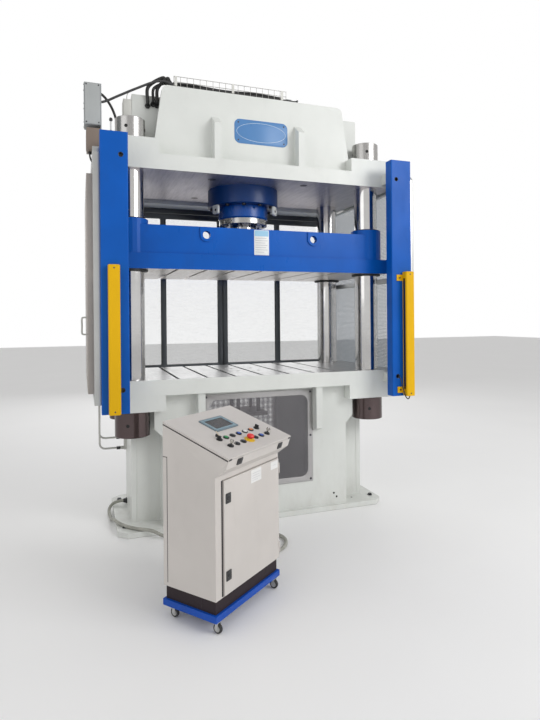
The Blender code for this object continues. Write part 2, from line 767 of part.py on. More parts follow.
def base_rib(name, x, side, top):
    """A square bar under the table, its lower end cut at 45 degrees."""
    root = side * (BASE_HALF_DEPTH - BITE)
    face = side * (BASE_HALF_DEPTH + BASE_RIB_DEPTH)
    outline = [(root, BASE_RIB_BOTTOM - BASE_RIB_CUT), (face, BASE_RIB_BOTTOM), (face, top), (root, top)]
    return tool(name, prism([outline], "X", x - BASE_RIB_WIDTH / 2, x + BASE_RIB_WIDTH / 2))


def make_grilles():
    """Perforated covers screwed over the two windows of the base."""
    steel = finish("grille_steel", STEEL_DARK, 0.8, 0.45)
    left, right = -WINDOW_HALF - GRILLE_LAP, WINDOW_HALF + GRILLE_LAP
    right = min(right, BASE_RIB_X - BASE_RIB_WIDTH / 2 - GAP)
    left = -right
    bottom = WINDOW_BOTTOM - GRILLE_LAP
    top = TABLE_BOTTOM - GRILLE_LAP
    inner = rounded(left + GRILLE_BORDER, right - GRILLE_BORDER, bottom + GRILLE_BORDER,
                    top - GRILLE_BORDER, WINDOW_CORNER)
    rim = [(left, bottom), (right, bottom), (right, top), (left, top)]
    for side, name in ((-1, "front"), (1, "rear")):
        seat = side * (BASE_HALF_DEPTH + GAP)
        sheet = seat + side * GRILLE_THICK
        face = seat + side * GRILLE_FRAME_DEPTH
        cover = part(f"base_grille_{name}", block(
            (left, min(seat, sheet), bottom), (right, max(seat, sheet), top)), steel)
        border = prism([rim, inner], "Y", min(seat, face), max(seat, face))
        join(cover, tool(f"grille_border_{name}", border))


def make_table():
    """Bolster with T slots, column holes, pin holes and the lugs under its ends."""
    paint = finish("table_paint", PAINT_WHITE, 0.0, 0.4)
    table = part("bolster_table", block(
        (-HALF_LENGTH, -HALF_DEPTH, TABLE_BOTTOM), (HALF_LENGTH, HALF_DEPTH, TABLE_TOP)), paint)
    for name, x, y in corners(1, 1):
        inner_x, outer_x = x * LUG_INNER, x * (HALF_LENGTH - LUG_SET_BACK)
        outer_y, inner_y = y * (HALF_DEPTH - LUG_SET_BACK), y * (HALF_DEPTH - LUG_DEPTH)
        lug = block((min(inner_x, outer_x), min(outer_y, inner_y), LUG_BOTTOM),
                    (max(inner_x, outer_x), max(outer_y, inner_y), TABLE_BOTTOM + BITE))
        join(table, tool(f"lug_{name}", lug))
    cut_slots(table, TABLE_TOP, -1)
    cut_column_holes(table, TENON_RADIUS + GAP, LUG_BOTTOM, TABLE_TOP)
    for name, x, y in corners(PIN_X, PIN_Y):
        hole = rod(PIN_RADIUS + RUNNING, "Z", (x, y), TABLE_BOTTOM - OVERRUN, TABLE_TOP + OVERRUN)
        cut(table, tool(f"pin_hole_{name}", hole))


def cut_column_holes(target, radius, bottom, top):
    for name, x, y in corners(COLUMN_X, COLUMN_Y):
        hole = rod(radius, "Z", (x, y), bottom - OVERRUN, top + OVERRUN, SIDES_LARGE)
        cut(target, tool(f"{target.name}_column_hole_{name}", hole))


def make_columns():
    """Shouldered columns, each with its two round nuts."""
    steel = finish("column_steel", STEEL, 1.0, 0.18)
    nut_top = PAD_TOP + GAP + UPPER_NUT_HEIGHT
    nut_bottom = LUG_BOTTOM - GAP - LOWER_NUT_HEIGHT
    profile = [
        (0.0, nut_top + TENON_PROUD), (TENON_RADIUS, nut_top + TENON_PROUD), (TENON_RADIUS, nut_top),
        (UPPER_NUT_RADIUS - NUT_CHAMFER, nut_top), (UPPER_NUT_RADIUS, nut_top - NUT_CHAMFER),
        (UPPER_NUT_RADIUS, PAD_TOP + GAP), (TENON_RADIUS, PAD_TOP + GAP),
        (TENON_RADIUS, CROWN_BOTTOM - GAP), (COLUMN_RADIUS, CROWN_BOTTOM - GAP),
        (COLUMN_RADIUS, TABLE_TOP + GAP), (TENON_RADIUS, TABLE_TOP + GAP),
        (TENON_RADIUS, LUG_BOTTOM - GAP), (LOWER_NUT_RADIUS, LUG_BOTTOM - GAP),
        (LOWER_NUT_RADIUS, nut_bottom + NUT_CHAMFER), (LOWER_NUT_RADIUS - NUT_CHAMFER, nut_bottom),
        (TENON_RADIUS, nut_bottom), (TENON_RADIUS, nut_bottom - TENON_PROUD),
        (0.0, nut_bottom - TENON_PROUD)]
    levels = ((UPPER_NUT_RADIUS, PAD_TOP + GAP + UPPER_NUT_HEIGHT / 2),
              (LOWER_NUT_RADIUS, LUG_BOTTOM - GAP - LOWER_NUT_HEIGHT / 2))
    for name, x, y in corners(COLUMN_X, COLUMN_Y):
        column = turned(f"column_{name}", profile, SIDES_LARGE, steel, (x, y, 0.0))
        for level, (radius, height) in enumerate(levels):
            for index in range(SPANNER_HOLES):
                cut(column, spanner_hole(f"spanner_hole_{name}_{level}_{index}", x, y, radius, height, index))


def spanner_hole(name, x, y, radius, height, index):
    """A blind radial hole in a nut's rim, between two of its facets' edges."""
    depth = (radius - SPANNER_HOLE_DEPTH, radius + OVERRUN)
    drill = tool(name, rod(SPANNER_HOLE_RADIUS, "X", (0.0, 0.0), *depth, 8))
    drill.location = (x, y, height)
    drill.rotation_euler = (0.0, 0.0, (index + 0.5) * 2 * math.pi / SPANNER_HOLES)
    return drill


def make_crown():
    """Welded crown: thick plate, nut pads, two faces, middle box, top plate and ribs."""
    paint = finish("crown_paint", PAINT_WHITE, 0.0, 0.4)
    crown = part("crown", block(
        (-HALF_LENGTH, -HALF_DEPTH, CROWN_BOTTOM), (HALF_LENGTH, HALF_DEPTH, CROWN_TOP_OF_PLATE)), paint)
    base = CROWN_TOP_OF_PLATE - BITE
    for name, x, y in corners(1, 1):
        inner_x, outer_x = x * PAD_INNER, x * HALF_LENGTH
        outer_y, inner_y = y * HALF_DEPTH, y * (HALF_DEPTH - PAD_DEPTH)
        pad = block((min(inner_x, outer_x), min(outer_y, inner_y), base),
                    (max(inner_x, outer_x), max(outer_y, inner_y), PAD_TOP))
        join(crown, tool(f"pad_{name}", pad))
    middle = block((-BOX_HALF_LENGTH, -BOX_HALF_DEPTH, base), (BOX_HALF_LENGTH, BOX_HALF_DEPTH, BOX_TOP))
    join(crown, tool("crown_box", middle))
    for side, name in ((-1, "front"), (1, "rear")):
        outer, inner = side * FACE_Y, side * (FACE_Y - FACE_THICK)
        face = prism([crown_face(base)], "Y", min(outer, inner), max(outer, inner))
        join(crown, tool(f"crown_face_{name}", face))
        for x, place in ((-CROWN_RIB_X, "left"), (CROWN_RIB_X, "right")):
            join(crown, crown_rib(f"crown_rib_{name}_{place}", x, side, base))
    reach = FACE_Y - FACE_THICK / 2
    cover = block((-FACE_HALF_TOP + FACE_CORNER, -reach, CROWN_TOP - LID_THICK),
                  (FACE_HALF_TOP - FACE_CORNER, reach, CROWN_TOP - BITE / 2))
    join(crown, tool("crown_cover", cover))
    cut_column_holes(crown, TENON_RADIUS + GAP, CROWN_BOTTOM, PAD_TOP)
    bore = rod(CYLINDER_RADIUS + GAP, "Z", (0.0, 0.0), CROWN_BOTTOM - OVERRUN,
               CYLINDER_HEAD_TOP + GAP, SIDES_LARGE)
    cut(crown, tool("cylinder_bore", bore))


def crown_face(base):
    """The tapering face plate with its two round upper corners."""
    points = [(-FACE_HALF_BOTTOM, base), (FACE_HALF_BOTTOM, base)]
    lean = math.atan2(FACE_HALF_BOTTOM - FACE_HALF_TOP, CROWN_TOP - base)
    for side, start in ((1, 0), (-1, 1)):
        centre = side * (FACE_HALF_TOP - FACE_CORNER)
        for step in range(CORNER_STEPS + 1):
            share = step / CORNER_STEPS if side > 0 else 1 - step / CORNER_STEPS
            angle = lean + share * (math.pi / 2 - lean)
            points.append((centre + side * FACE_CORNER * math.cos(angle),
                           CROWN_TOP - FACE_CORNER + FACE_CORNER * math.sin(angle)))
    return points


def crown_rib(name, x, side, base):
    """An upright plate on the crown's face, its top sloping down to the front."""
    root = side * (FACE_Y - BITE)
    face = side * (HALF_DEPTH - BITE)
    outline = [(root, base), (face, base), (face, CROWN_RIB_TOP - CROWN_RIB_SLOPE), (root, CROWN_RIB_TOP)]
    return tool(name, prism([outline], "X", x - CROWN_RIB_THICK / 2, x + CROWN_RIB_THICK / 2))


def make_slide():
    """Moving platen: slotted flange, open-topped body, guide bosses, wiper rings and lifting holes."""
    paint = finish("slide_paint", PAINT_BLUE, 0.0, 0.35)
    slide = part("slide", block(
        (-SLIDE_HALF_LENGTH, -HALF_DEPTH, SLIDE_BOTTOM),
        (SLIDE_HALF_LENGTH, HALF_DEPTH, SLIDE_FLANGE_TOP)), paint)
    body = block((-SLIDE_BODY_HALF, -SLIDE_BODY_DEPTH, SLIDE_FLANGE_TOP - BITE),
                 (SLIDE_BODY_HALF, SLIDE_BODY_DEPTH, SLIDE_BODY_TOP))
    join(slide, tool("slide_body", body))
    room = SLIDE_BODY_DEPTH - SLIDE_PLATE
    for side, name in ((-1, "left"), (1, "right")):
        low, high = mirrored(side, (POCKET_INNER, -room, SLIDE_FLANGE_TOP + POCKET_FLOOR),
                             (POCKET_OUTER, room, SLIDE_BODY_TOP + OVERRUN))
        cut(slide, tool(f"slide_pocket_{name}", block(low, high)))
    for name, x, y in corners(COLUMN_X, COLUMN_Y):
        boss = rod(SLIDE_BOSS_RADIUS, "Z", (x, y), SLIDE_FLANGE_TOP - BITE, SLIDE_BOSS_TOP, SIDES_LARGE)
        ring = rod(WIPER_RADIUS, "Z", (x, y), SLIDE_BOTTOM - WIPER_HEIGHT, SLIDE_BOTTOM + BITE, SIDES_LARGE)
        join(slide, tool(f"slide_boss_{name}", boss), tool(f"wiper_{name}", ring))
    height = SLIDE_FLANGE_TOP + LIFT_RISE
    for side, row in ((-1, "front"), (1, "rear")):
        for x, place in ((-LIFT_X, "left"), (LIFT_X, "right")):
            face = side * (SLIDE_BODY_DEPTH + LIFT_BOSS_PROUD)
            root = side * (SLIDE_BODY_DEPTH - BITE)
            join(slide, tool(f"lift_boss_{row}_{place}", prism(
                [lift_outline(x, height)], "Y", min(face, root), max(face, root))))
            near, far = side * (SLIDE_BODY_DEPTH - LIFT_DEPTH), side * (HALF_DEPTH + OVERRUN)
            hole = rod(LIFT_RADIUS, "Y", (x, height), min(near, far), max(near, far), SIDES_MEDIUM)
            cut(slide, tool(f"lift_hole_{row}_{place}", hole))
    cut_slots(slide, SLIDE_BOTTOM, 1)
    cut_column_holes(slide, COLUMN_RADIUS + RUNNING, SLIDE_BOTTOM - WIPER_HEIGHT, SLIDE_BOSS_TOP)


def lift_outline(x, height):
    """A U-shaped pad: straight sides up to the slide's top, round below."""
    points = [(x + LIFT_BOSS_RADIUS, SLIDE_BODY_TOP - BITE), (x - LIFT_BOSS_RADIUS, SLIDE_BODY_TOP - BITE)]
    steps = CORNER_STEPS * 3
    for step in range(steps + 1):
        angle = math.pi + step / steps * math.pi
        points.append((x + LIFT_BOSS_RADIUS * math.cos(angle), height + LIFT_BOSS_RADIUS * math.sin(angle)))
    return points


def make_cylinder():
    """Main cylinder under the crown, its gland ring, and the piston with its rod."""
    flange_bottom = CROWN_BOTTOM - CYLINDER_FLANGE_THICK
    nose = CYLINDER_NOSE_BOTTOM
    top = CYLINDER_HEAD_TOP - GAP
    barrel_profile = [
        (0.0, top), (CYLINDER_RADIUS, top), (CYLINDER_RADIUS, CROWN_BOTTOM - GAP),
        (CYLINDER_FLANGE_RADIUS, CROWN_BOTTOM - GAP),
        (CYLINDER_FLANGE_RADIUS, flange_bottom + CYLINDER_CHAMFER),
        (CYLINDER_FLANGE_RADIUS - CYLINDER_CHAMFER, flange_bottom), (CYLINDER_RADIUS, flange_bottom),
        (CYLINDER_RADIUS, nose), (CYLINDER_BORE, nose), (CYLINDER_BORE, top - CYLINDER_HEAD_THICK),
        (0.0, top - CYLINDER_HEAD_THICK)]
    turned("main_cylinder", barrel_profile, SIDES_LARGE, finish("cylinder_paint", PAINT_NAVY, 0.0, 0.35))
    ring_bottom = nose - GAP - GLAND_THICK
    spigot = CYLINDER_BORE - GAP
    bore = ROD_RADIUS + GAP
    gland_profile = [
        (bore, nose + GLAND_SPIGOT), (spigot, nose + GLAND_SPIGOT), (spigot, nose - GAP),
        (GLAND_RADIUS, nose - GAP), (GLAND_RADIUS, ring_bottom), (bore, ring_bottom)]
    turned("cylinder_gland", gland_profile, SIDES_LARGE, finish("gland_steel", STEEL, 1.0, 0.3), closed=True)
    piston = CYLINDER_BORE - RUNNING
    rod_profile = [
        (0.0, PISTON_TOP), (piston, PISTON_TOP), (piston, PISTON_TOP - PISTON_THICK),
        (ROD_RADIUS, PISTON_TOP - PISTON_THICK), (ROD_RADIUS, SLIDE_BODY_TOP + GAP),
        (0.0, SLIDE_BODY_TOP + GAP)]
    turned("piston_rod", rod_profile, SIDES_LARGE, finish("rod_chrome", STEEL_DARK, 1.0, 0.15))


def make_ejector():
    """Ejector cylinder in the base, and its plate with four pins under the table."""
    foot = PLATE_THICK + GAP
    profile = [
        (EJECTOR_BORE, EJECTOR_TOP), (EJECTOR_RADIUS, EJECTOR_TOP),
        (EJECTOR_RADIUS, foot + EJECTOR_FOOT_THICK), (EJECTOR_FOOT_RADIUS, foot + EJECTOR_FOOT_THICK),
        (EJECTOR_FOOT_RADIUS, foot), (0.0, foot), (0.0, foot + EJECTOR_FOOT_THICK),
        (EJECTOR_BORE, foot + EJECTOR_FOOT_THICK)]
    navy = finish("ejector_paint", PAINT_NAVY, 0.0, 0.4)
    turned("ejector_cylinder", profile, SIDES_MEDIUM, navy, closed=True)
    plate_top = EJECTOR_PLATE_BOTTOM + EJECTOR_PLATE_THICK
    plate = part("ejector_plate", block(
        (-EJECTOR_PLATE_HALF_X, -EJECTOR_PLATE_HALF_Y, EJECTOR_PLATE_BOTTOM),
        (EJECTOR_PLATE_HALF_X, EJECTOR_PLATE_HALF_Y, plate_top)),
        finish("ejector_steel", STEEL_DARK, 1.0, 0.35))
    ram = rod(EJECTOR_ROD_RADIUS, "Z", (0.0, 0.0), EJECTOR_TOP, EJECTOR_PLATE_BOTTOM + BITE, SIDES_MEDIUM)
    head = rod(EJECTOR_BORE - RUNNING, "Z", (0.0, 0.0), EJECTOR_ROD_BOTTOM, EJECTOR_TOP + BITE, SIDES_MEDIUM)
    join(plate, tool("ejector_ram", ram), tool("ejector_head", head))
    for name, x, y in corners(PIN_X, PIN_Y):
        pin = rod(PIN_RADIUS, "Z", (x, y), plate_top - BITE, TABLE_TOP - PIN_SUNK)
        join(plate, tool(f"ejector_pin_{name}", pin))


def mirrored(side, low, high):
    """Corners of a box given for the right-hand side, on either side."""
    first, last = side * low[0], side * high[0]
    return (min(first, last), low[1], low[2]), (max(first, last), high[1], high[2])


def make_posts():
    """Blue box-section posts in front of the columns, on brackets to table and crown."""
    paint = finish("post_paint", PAINT_BLUE, 0.0, 0.35)
    bracket_levels = ((CROWN_BOTTOM + POST_BRACKET_INSET, "upper"),
                      (TABLE_BOTTOM + POST_BRACKET_INSET, "lower"))
    hole_levels = ((POST_TOP - POST_HOLE_INSET_TOP, "upper"), (POST_BOTTOM + POST_HOLE_INSET_BOTTOM, "lower"))
    middle = (POST_INNER + POST_OUTER) / 2
    for side, name in ((-1, "left"), (1, "right")):
        low, high = mirrored(side, (POST_INNER, POST_FRONT, POST_BOTTOM), (POST_OUTER, POST_BACK, POST_TOP))
        post = part(f"guard_post_{name}", rounded_slab(low, high, POST_CORNER, "Z"), paint)
        inner_low, inner_high = mirrored(
            side, (POST_INNER + POST_WALL, POST_FRONT + POST_WALL, POST_BOTTOM - OVERRUN),
            (POST_OUTER - POST_WALL, POST_BACK - POST_WALL, POST_TOP - POST_WALL))
        for height, level in bracket_levels:
            bracket_low, bracket_high = mirrored(
                side, (middle - POST_BRACKET_HALF, POST_BACK - POST_WALL / 2, height),
                (middle + POST_BRACKET_HALF, -HALF_DEPTH - GAP, height + POST_BRACKET_HEIGHT))
            join(post, tool(f"post_bracket_{name}_{level}", block(bracket_low, bracket_high)))
        cut(post, tool(f"post_hollow_{name}", block(inner_low, inner_high)))
        for height, level in hole_levels:
            hole = rod(POST_HOLE_RADIUS, "Y", (side * POST_HOLE_X, height), POST_FRONT - OVERRUN,
                       POST_FRONT + POST_WALL + OVERRUN)
            cut(post, tool(f"post_hole_{name}_{level}", hole))


def make_curtains():
    """Yellow light-curtain bars on the posts, their optical slots facing each other."""
    paint = finish("curtain_paint", PAINT_YELLOW, 0.0, 0.4)
    back = POST_FRONT - GAP
    front = back - CURTAIN_DEPTH
    levels = ((CURTAIN_BOTTOM + CURTAIN_TAB_INSET, "lower"),
              (CURTAIN_TOP - CURTAIN_TAB_INSET - CURTAIN_TAB, "upper"))
    for side, name, x, tabs in ((-1, "left", CURTAIN_LEFT, ()), (1, "right", CURTAIN_RIGHT, levels)):
        inner, outer = x - CURTAIN_WIDTH / 2, x + CURTAIN_WIDTH / 2
        low, high = mirrored(side, (inner, front, CURTAIN_BOTTOM), (outer, back, CURTAIN_TOP))
        bar = part(f"light_curtain_{name}", rounded_slab(low, high, CURTAIN_CORNER, "Z"), paint)
        for height, level in tabs:
            tab_low, tab_high = mirrored(
                side, (inner - CURTAIN_TAB, back - CURTAIN_TAB_THICK, height),
                (inner + CURTAIN_CORNER, back, height + CURTAIN_TAB))
            join(bar, tool(f"curtain_tab_{name}_{level}", block(tab_low, tab_high)))
        middle = (front + back) / 2
        slot_low, slot_high = mirrored(
            side, (inner - OVERRUN, middle - CURTAIN_LENS_WIDTH / 2, CURTAIN_BOTTOM + CURTAIN_TAB),
            (inner + CURTAIN_LENS_DEPTH, middle + CURTAIN_LENS_WIDTH / 2, CURTAIN_TOP - CURTAIN_TAB))
        slot_mesh = block(slot_low, slot_high)
        cut(bar, tool(f"curtain_slot_{name}", slot_mesh))


def make_side_guards():
    """Framed panels beside the columns, fixed to the posts' outer faces."""
    paint = finish("guard_frame", PAINT_PALE, 0.0, 0.45)
    inner = POST_OUTER + GAP
    outer = inner + GUARD_THICK
    rim = [(GUARD_FRONT, GUARD_BOTTOM), (GUARD_BACK, GUARD_BOTTOM), (GUARD_BACK, GUARD_TOP),
           (GUARD_FRONT + GUARD_SLANT, GUARD_TOP), (GUARD_FRONT, GUARD_TOP - GUARD_SLANT)]
    hole = rounded(GUARD_FRONT + GUARD_PROFILE, GUARD_BACK - GUARD_PROFILE, GUARD_BOTTOM + GUARD_PROFILE,
                   GUARD_TOP - GUARD_PROFILE - GUARD_SLANT, DOOR_PANE_CORNER)
    middle = (inner + outer) / 2
    for side, name in ((-1, "left"), (1, "right")):
        low, high = sorted((side * inner, side * outer))
        frame = part(f"side_guard_{name}", prism([rim, hole], "X", low, high), paint)
        pane_low, pane_high = mirrored(
            side, (middle - GUARD_PANE / 2, GUARD_FRONT + GUARD_PROFILE / 2, GUARD_BOTTOM + GUARD_PROFILE / 2),
            (middle + GUARD_PANE / 2, GUARD_BACK - GUARD_PROFILE / 2, GUARD_TOP - GUARD_PROFILE))
        join(frame, tool(f"guard_pane_{name}", block(pane_low, pane_high)))
        if side < 0:
            join(frame, *service_panel(-outer, -middle))


def service_panel(face, root):
    """The raised panel on the left guard, standing on its pane, with its pull grip."""
    front = face - SERVICE_PROUD
    raised = rounded_slab((front, SERVICE_FRONT, SERVICE_BOTTOM), (root, SERVICE_BACK, SERVICE_TOP),
                          SERVICE_CORNER, "X")
    level, top = GRIP_LEVEL, GRIP_LEVEL + GRIP_LENGTH
    reach = front - GRIP_REACH
    bar = reach + GRIP_BAR
    outline = [(front + BITE, level), (reach, level), (reach, top), (front + BITE, top),
               (front + BITE, top - GRIP_BAR), (bar, top - GRIP_BAR), (bar, level + GRIP_BAR),
               (front + BITE, level + GRIP_BAR)]
    grip = prism([outline], "Y", GRIP_FRONT, GRIP_FRONT + GRIP_WIDTH)
    return tool("service_panel", raised), tool("service_grip", grip)


def make_rear_guard():
    """Rear frame of dark profile, with two hinged doors that meet in the middle."""
    dark = finish("rear_profile", DARK_PROFILE, 0.6, 0.4)
    edge = POST_OUTER
    back = REAR_Y + REAR_DEPTH
    outer = [(-edge, REAR_BOTTOM), (edge, REAR_BOTTOM), (edge, REAR_TOP), (edge - REAR_PROFILE, REAR_TOP),
             (edge - REAR_PROFILE, REAR_RAIL_TOP), (-edge + REAR_PROFILE, REAR_RAIL_TOP),
             (-edge + REAR_PROFILE, REAR_TOP), (-edge, REAR_TOP)]
    clear_low, clear_high = REAR_BOTTOM + REAR_PROFILE, REAR_RAIL_TOP - REAR_PROFILE
    clear_x = edge - REAR_PROFILE
    opening = [(-clear_x, clear_low), (clear_x, clear_low), (clear_x, clear_high), (-clear_x, clear_high)]
    frame = part("rear_guard_frame", prism([outer, opening], "Y", REAR_Y, back), dark)
    bracket_x = edge - REAR_PROFILE
    for side, name in ((-1, "left"), (1, "right")):
        for height, level in ((TABLE_BOTTOM + REAR_BRACKET_INSET + REAR_BRACKET_INSET, "lower"),
                              (CROWN_BOTTOM + REAR_BRACKET_INSET, "upper")):
            low, high = mirrored(
                side, (bracket_x, HALF_DEPTH + GAP, height),
                (HALF_LENGTH, REAR_Y + BITE, height + REAR_BRACKET))
            join(frame, tool(f"rear_bracket_{name}_{level}", block(low, high)))
        for height, level in ((HINGE_LOWER, "lower"), (HINGE_UPPER, "upper")):
            rear_hinge_half(frame, f"{name}_{level}_frame", side, height - HINGE_LENGTH, height, 1)
    for side, name in ((-1, "left"), (1, "right")):
        make_rear_door(side, name, dark, clear_x, clear_low, clear_high)


def make_rear_door(side, name, material, clear_x, clear_low, clear_high):
    """A door leaf with two clear panes; its origin is on its hinge axis."""
    back = REAR_Y + REAR_DEPTH
    hinge = axis_empty(f"rear_hinge_{name}", rear_pivot(side))
    inner, outer = DOOR_GAP / 2, clear_x - DOOR_GAP
    bottom, top = clear_low + DOOR_GAP, clear_high - DOOR_GAP
    rim = rounded(inner, outer, bottom, top, DOOR_GAP)
    half = REAR_PROFILE / 2
    panes = ((inner + REAR_PROFILE, DOOR_MID_X - half), (DOOR_MID_X + half, outer - REAR_PROFILE))
    loops = [rim] + [rounded(left, right, bottom + REAR_PROFILE, top - REAR_PROFILE, DOOR_PANE_CORNER)
                     for left, right in panes]
    loops = [[(side * x, z) for x, z in loop] for loop in loops]
    door = part(f"rear_door_{name}", prism(loops, "Y", REAR_Y, back), material)
    middle = (REAR_Y + back) / 2
    low, high = mirrored(
        side, (inner + half, middle - DOOR_PANE_THICK / 2, bottom + half),
        (outer - half, middle + DOOR_PANE_THICK / 2, top - half))
    join(door, tool(f"rear_pane_{name}", block(low, high)))
    for height, level in ((HINGE_LOWER, "lower"), (HINGE_UPPER, "upper")):
        start = height + GAP
        rear_hinge_half(door, f"{name}_{level}_door", side, start, start + HINGE_LENGTH, -1)
    hang(door, hinge)


def rear_pivot(side):
    """Hinge axis of a rear door, just behind the joint between leaf and frame."""
    clear_x = POST_OUTER - REAR_PROFILE
    return (side * (clear_x - DOOR_GAP / 2), REAR_Y + REAR_DEPTH + HINGE_RUNNING + HINGE_RADIUS, 0.0)


def rear_hinge_half(target, name, side, low, high, way):
    """Barrel and leaf of one half of a hinge; way is 1 on the frame and -1 on the door."""
    x, y, _ = rear_pivot(side)
    face = REAR_Y + REAR_DEPTH
    leaf_low = y - HINGE_LEAF
    near = side * x
    far = near + way * HINGE_REACH
    shoulder = near + way * HINGE_RADIUS
    barrel = rod(HINGE_RADIUS, "Z", (x, y), low, high)
    leaf = block(*mirrored(side, (min(near, far), leaf_low, low), (max(near, far), y, high)))
    foot = block(*mirrored(side, (min(shoulder, far), face - BITE, low), (max(shoulder, far), y, high)))
    join(target, tool(f"hinge_barrel_{name}", barrel), tool(f"hinge_leaf_{name}", leaf),
         tool(f"hinge_foot_{name}", foot))


def hang(piece, hinge):
    """Parents a piece to an empty and keeps its place."""
    piece.parent = hinge
    piece.matrix_parent_inverse = Matrix.Translation(hinge.location).inverted()


def make_tray():
    """Open cable tray on top of the crown."""
    steel = finish("tray_steel", STEEL_DARK, 0.9, 0.4)
    bottom = CROWN_TOP + GAP
    top = bottom + TRAY_HEIGHT
    outline = [(TRAY_FRONT, bottom), (TRAY_BACK, bottom), (TRAY_BACK, top), (TRAY_BACK - TRAY_WALL, top),
               (TRAY_BACK - TRAY_WALL, bottom + TRAY_WALL), (TRAY_FRONT + TRAY_WALL, bottom + TRAY_WALL),
               (TRAY_FRONT + TRAY_WALL, top), (TRAY_FRONT, top)]
    part("cable_tray", prism([outline], "X", TRAY_LEFT, TRAY_RIGHT), steel)


def make_electrical_box():
    """Terminal boxes on a plate at the crown's left end."""
    grey = finish("box_grey", GREY_PLASTIC, 0.0, 0.5)
    seat = -HALF_LENGTH - GAP
    plate = part("electrical_box", block(
        (seat - EBOX_PLATE_THICK, EBOX_FRONT, EBOX_PLATE_BOTTOM), (seat, EBOX_BACK, EBOX_TOP)), grey)
    upper = block((seat - EBOX_THICK, EBOX_FRONT, EBOX_BOTTOM),
                  (seat - EBOX_PLATE_THICK / 2, EBOX_BACK, EBOX_TOP))
    lower = block((seat - EBOX_LOWER_THICK, EBOX_FRONT, EBOX_LOWER_BOTTOM),
                  (seat - EBOX_PLATE_THICK / 2, EBOX_BACK, EBOX_LOWER_TOP))
    join(plate, tool("box_upper", upper), tool("box_lower", lower))


def pipe_route(index):
    """Centre line from the crown's end, down past the table's end, and in to the leg."""
    out = -HALF_LENGTH - PIPE_OUT
    y = PIPE_Y + index * PIPE_PITCH
    bottom = PIPE_LEG_Z + index * PIPE_LEG_STEP
    points = [(out, y, PIPE_TOP)]
    points += bend((out, y, bottom), (0, 0, 1), (1, 0, 0))
    points.append((-LEG_HALF_LENGTH - GAP, y, bottom))
    return points


def bend(corner, back, onward):
    """Points of a quarter bend at a corner, given the directions back and onward."""
    corner, back, onward = Vector(corner), Vector(back), Vector(onward)
    centre = corner + (back + onward) * PIPE_BEND
    points = []
    for step in range(CORNER_STEPS + 1):
        angle = step / CORNER_STEPS * math.pi / 2
        points.append(centre - onward * PIPE_BEND * math.cos(angle) - back * PIPE_BEND * math.sin(angle))
    return points


def tube_mesh(points, radius, resolution):
    """A capped tube along points, as a closed mesh."""
    curve = bpy.data.curves.new("tube", "CURVE")
    curve.dimensions = "3D"
    curve.bevel_depth = radius
    curve.bevel_resolution = resolution
    curve.use_fill_caps = True
    spline = curve.splines.new("POLY")
    spline.points.add(len(points) - 1)
    for point, place in zip(spline.points, points):
        point.co = (*place, 1.0)
    guide = bpy.data.objects.new("tube", curve)
    bpy.context.scene.collection.objects.link(guide)
    bpy.context.view_layer.update()
    mesh = bpy.data.meshes.new_from_object(guide.evaluated_get(bpy.context.evaluated_depsgraph_get()))
    bpy.data.objects.remove(guide, do_unlink=True)
    shape = bmesh.new()
    shape.from_mesh(mesh)
    bmesh.ops.remove_doubles(shape, verts=shape.verts, dist=MERGE)
    return to_mesh(shape)


def make_pipes():
    """Two bent pipes joined by a fitting block, a clamp block and a flange on the leg."""
    steel = finish("pipe_zinc", STEEL, 0.9, 0.4)
    pipes = part("pipe_pair", tube_mesh(pipe_route(0), PIPE_RADIUS, 1), steel)
    join(pipes, tool("second_pipe", tube_mesh(pipe_route(1), PIPE_RADIUS, 1)))
    margin = PIPE_RADIUS + PIPE_BLOCK_MARGIN
    front, rear = PIPE_Y - margin, PIPE_Y + PIPE_PITCH + margin
    outside = -HALF_LENGTH - PIPE_OUT - PIPE_RADIUS - PIPE_BLOCK_COVER
    seat = -HALF_LENGTH - GAP
    for name, height in (("fitting", PIPE_TOP - PIPE_BLOCK_HEIGHT / 2), ("clamp", TABLE_CLAMP_Z)):
        seated = block((outside, front, height), (seat, rear, height + PIPE_BLOCK_HEIGHT))
        join(pipes, tool(f"pipe_{name}", seated))
    wall = -LEG_HALF_LENGTH - GAP
    flange = block((wall - PIPE_FLANGE_THICK, front, PIPE_LEG_Z - margin),
                   (wall, rear, PIPE_LEG_Z + PIPE_LEG_STEP + margin))
    join(pipes, tool("pipe_flange", flange))


def lid_frame(cabinet):
    """An empty on the lid's rear edge, its Y axis running up the slope to the rear."""
    rise = CABINET_BACK_TOP - CABINET_LIP_TOP
    run = CABINET_DEPTH - CABINET_LIP_Y
    slope = math.atan2(rise, run)
    pivot = axis_empty("lid_pivot", (CABINET_WIDTH / 2, LID_PIVOT_Y, LID_PIVOT_Z), None, cabinet)
    rear = (0.0, CABINET_DEPTH - LID_PIVOT_Y, CABINET_BACK_TOP + LID_GAP - LID_PIVOT_Z)
    return axis_empty("lid_edge", rear, (slope, 0.0, 0.0), pivot), math.hypot(rise, run)


def barrel_starts():
    """Where the two lid hinges begin, along the desk's width."""
    far = CABINET_WIDTH - LID_BARREL_INSET - LID_BARREL_LENGTH * 2 - GAP
    return (("left", LID_BARREL_INSET), ("right", far))


def lid_barrel(name, start, parent):
    """One half of a lid hinge's barrel, on the pivot line."""
    barrel = rod(LID_BARREL, "X", (LID_PIVOT_Y, LID_PIVOT_Z), start, start + LID_BARREL_LENGTH)
    return tool(name, barrel, parent)


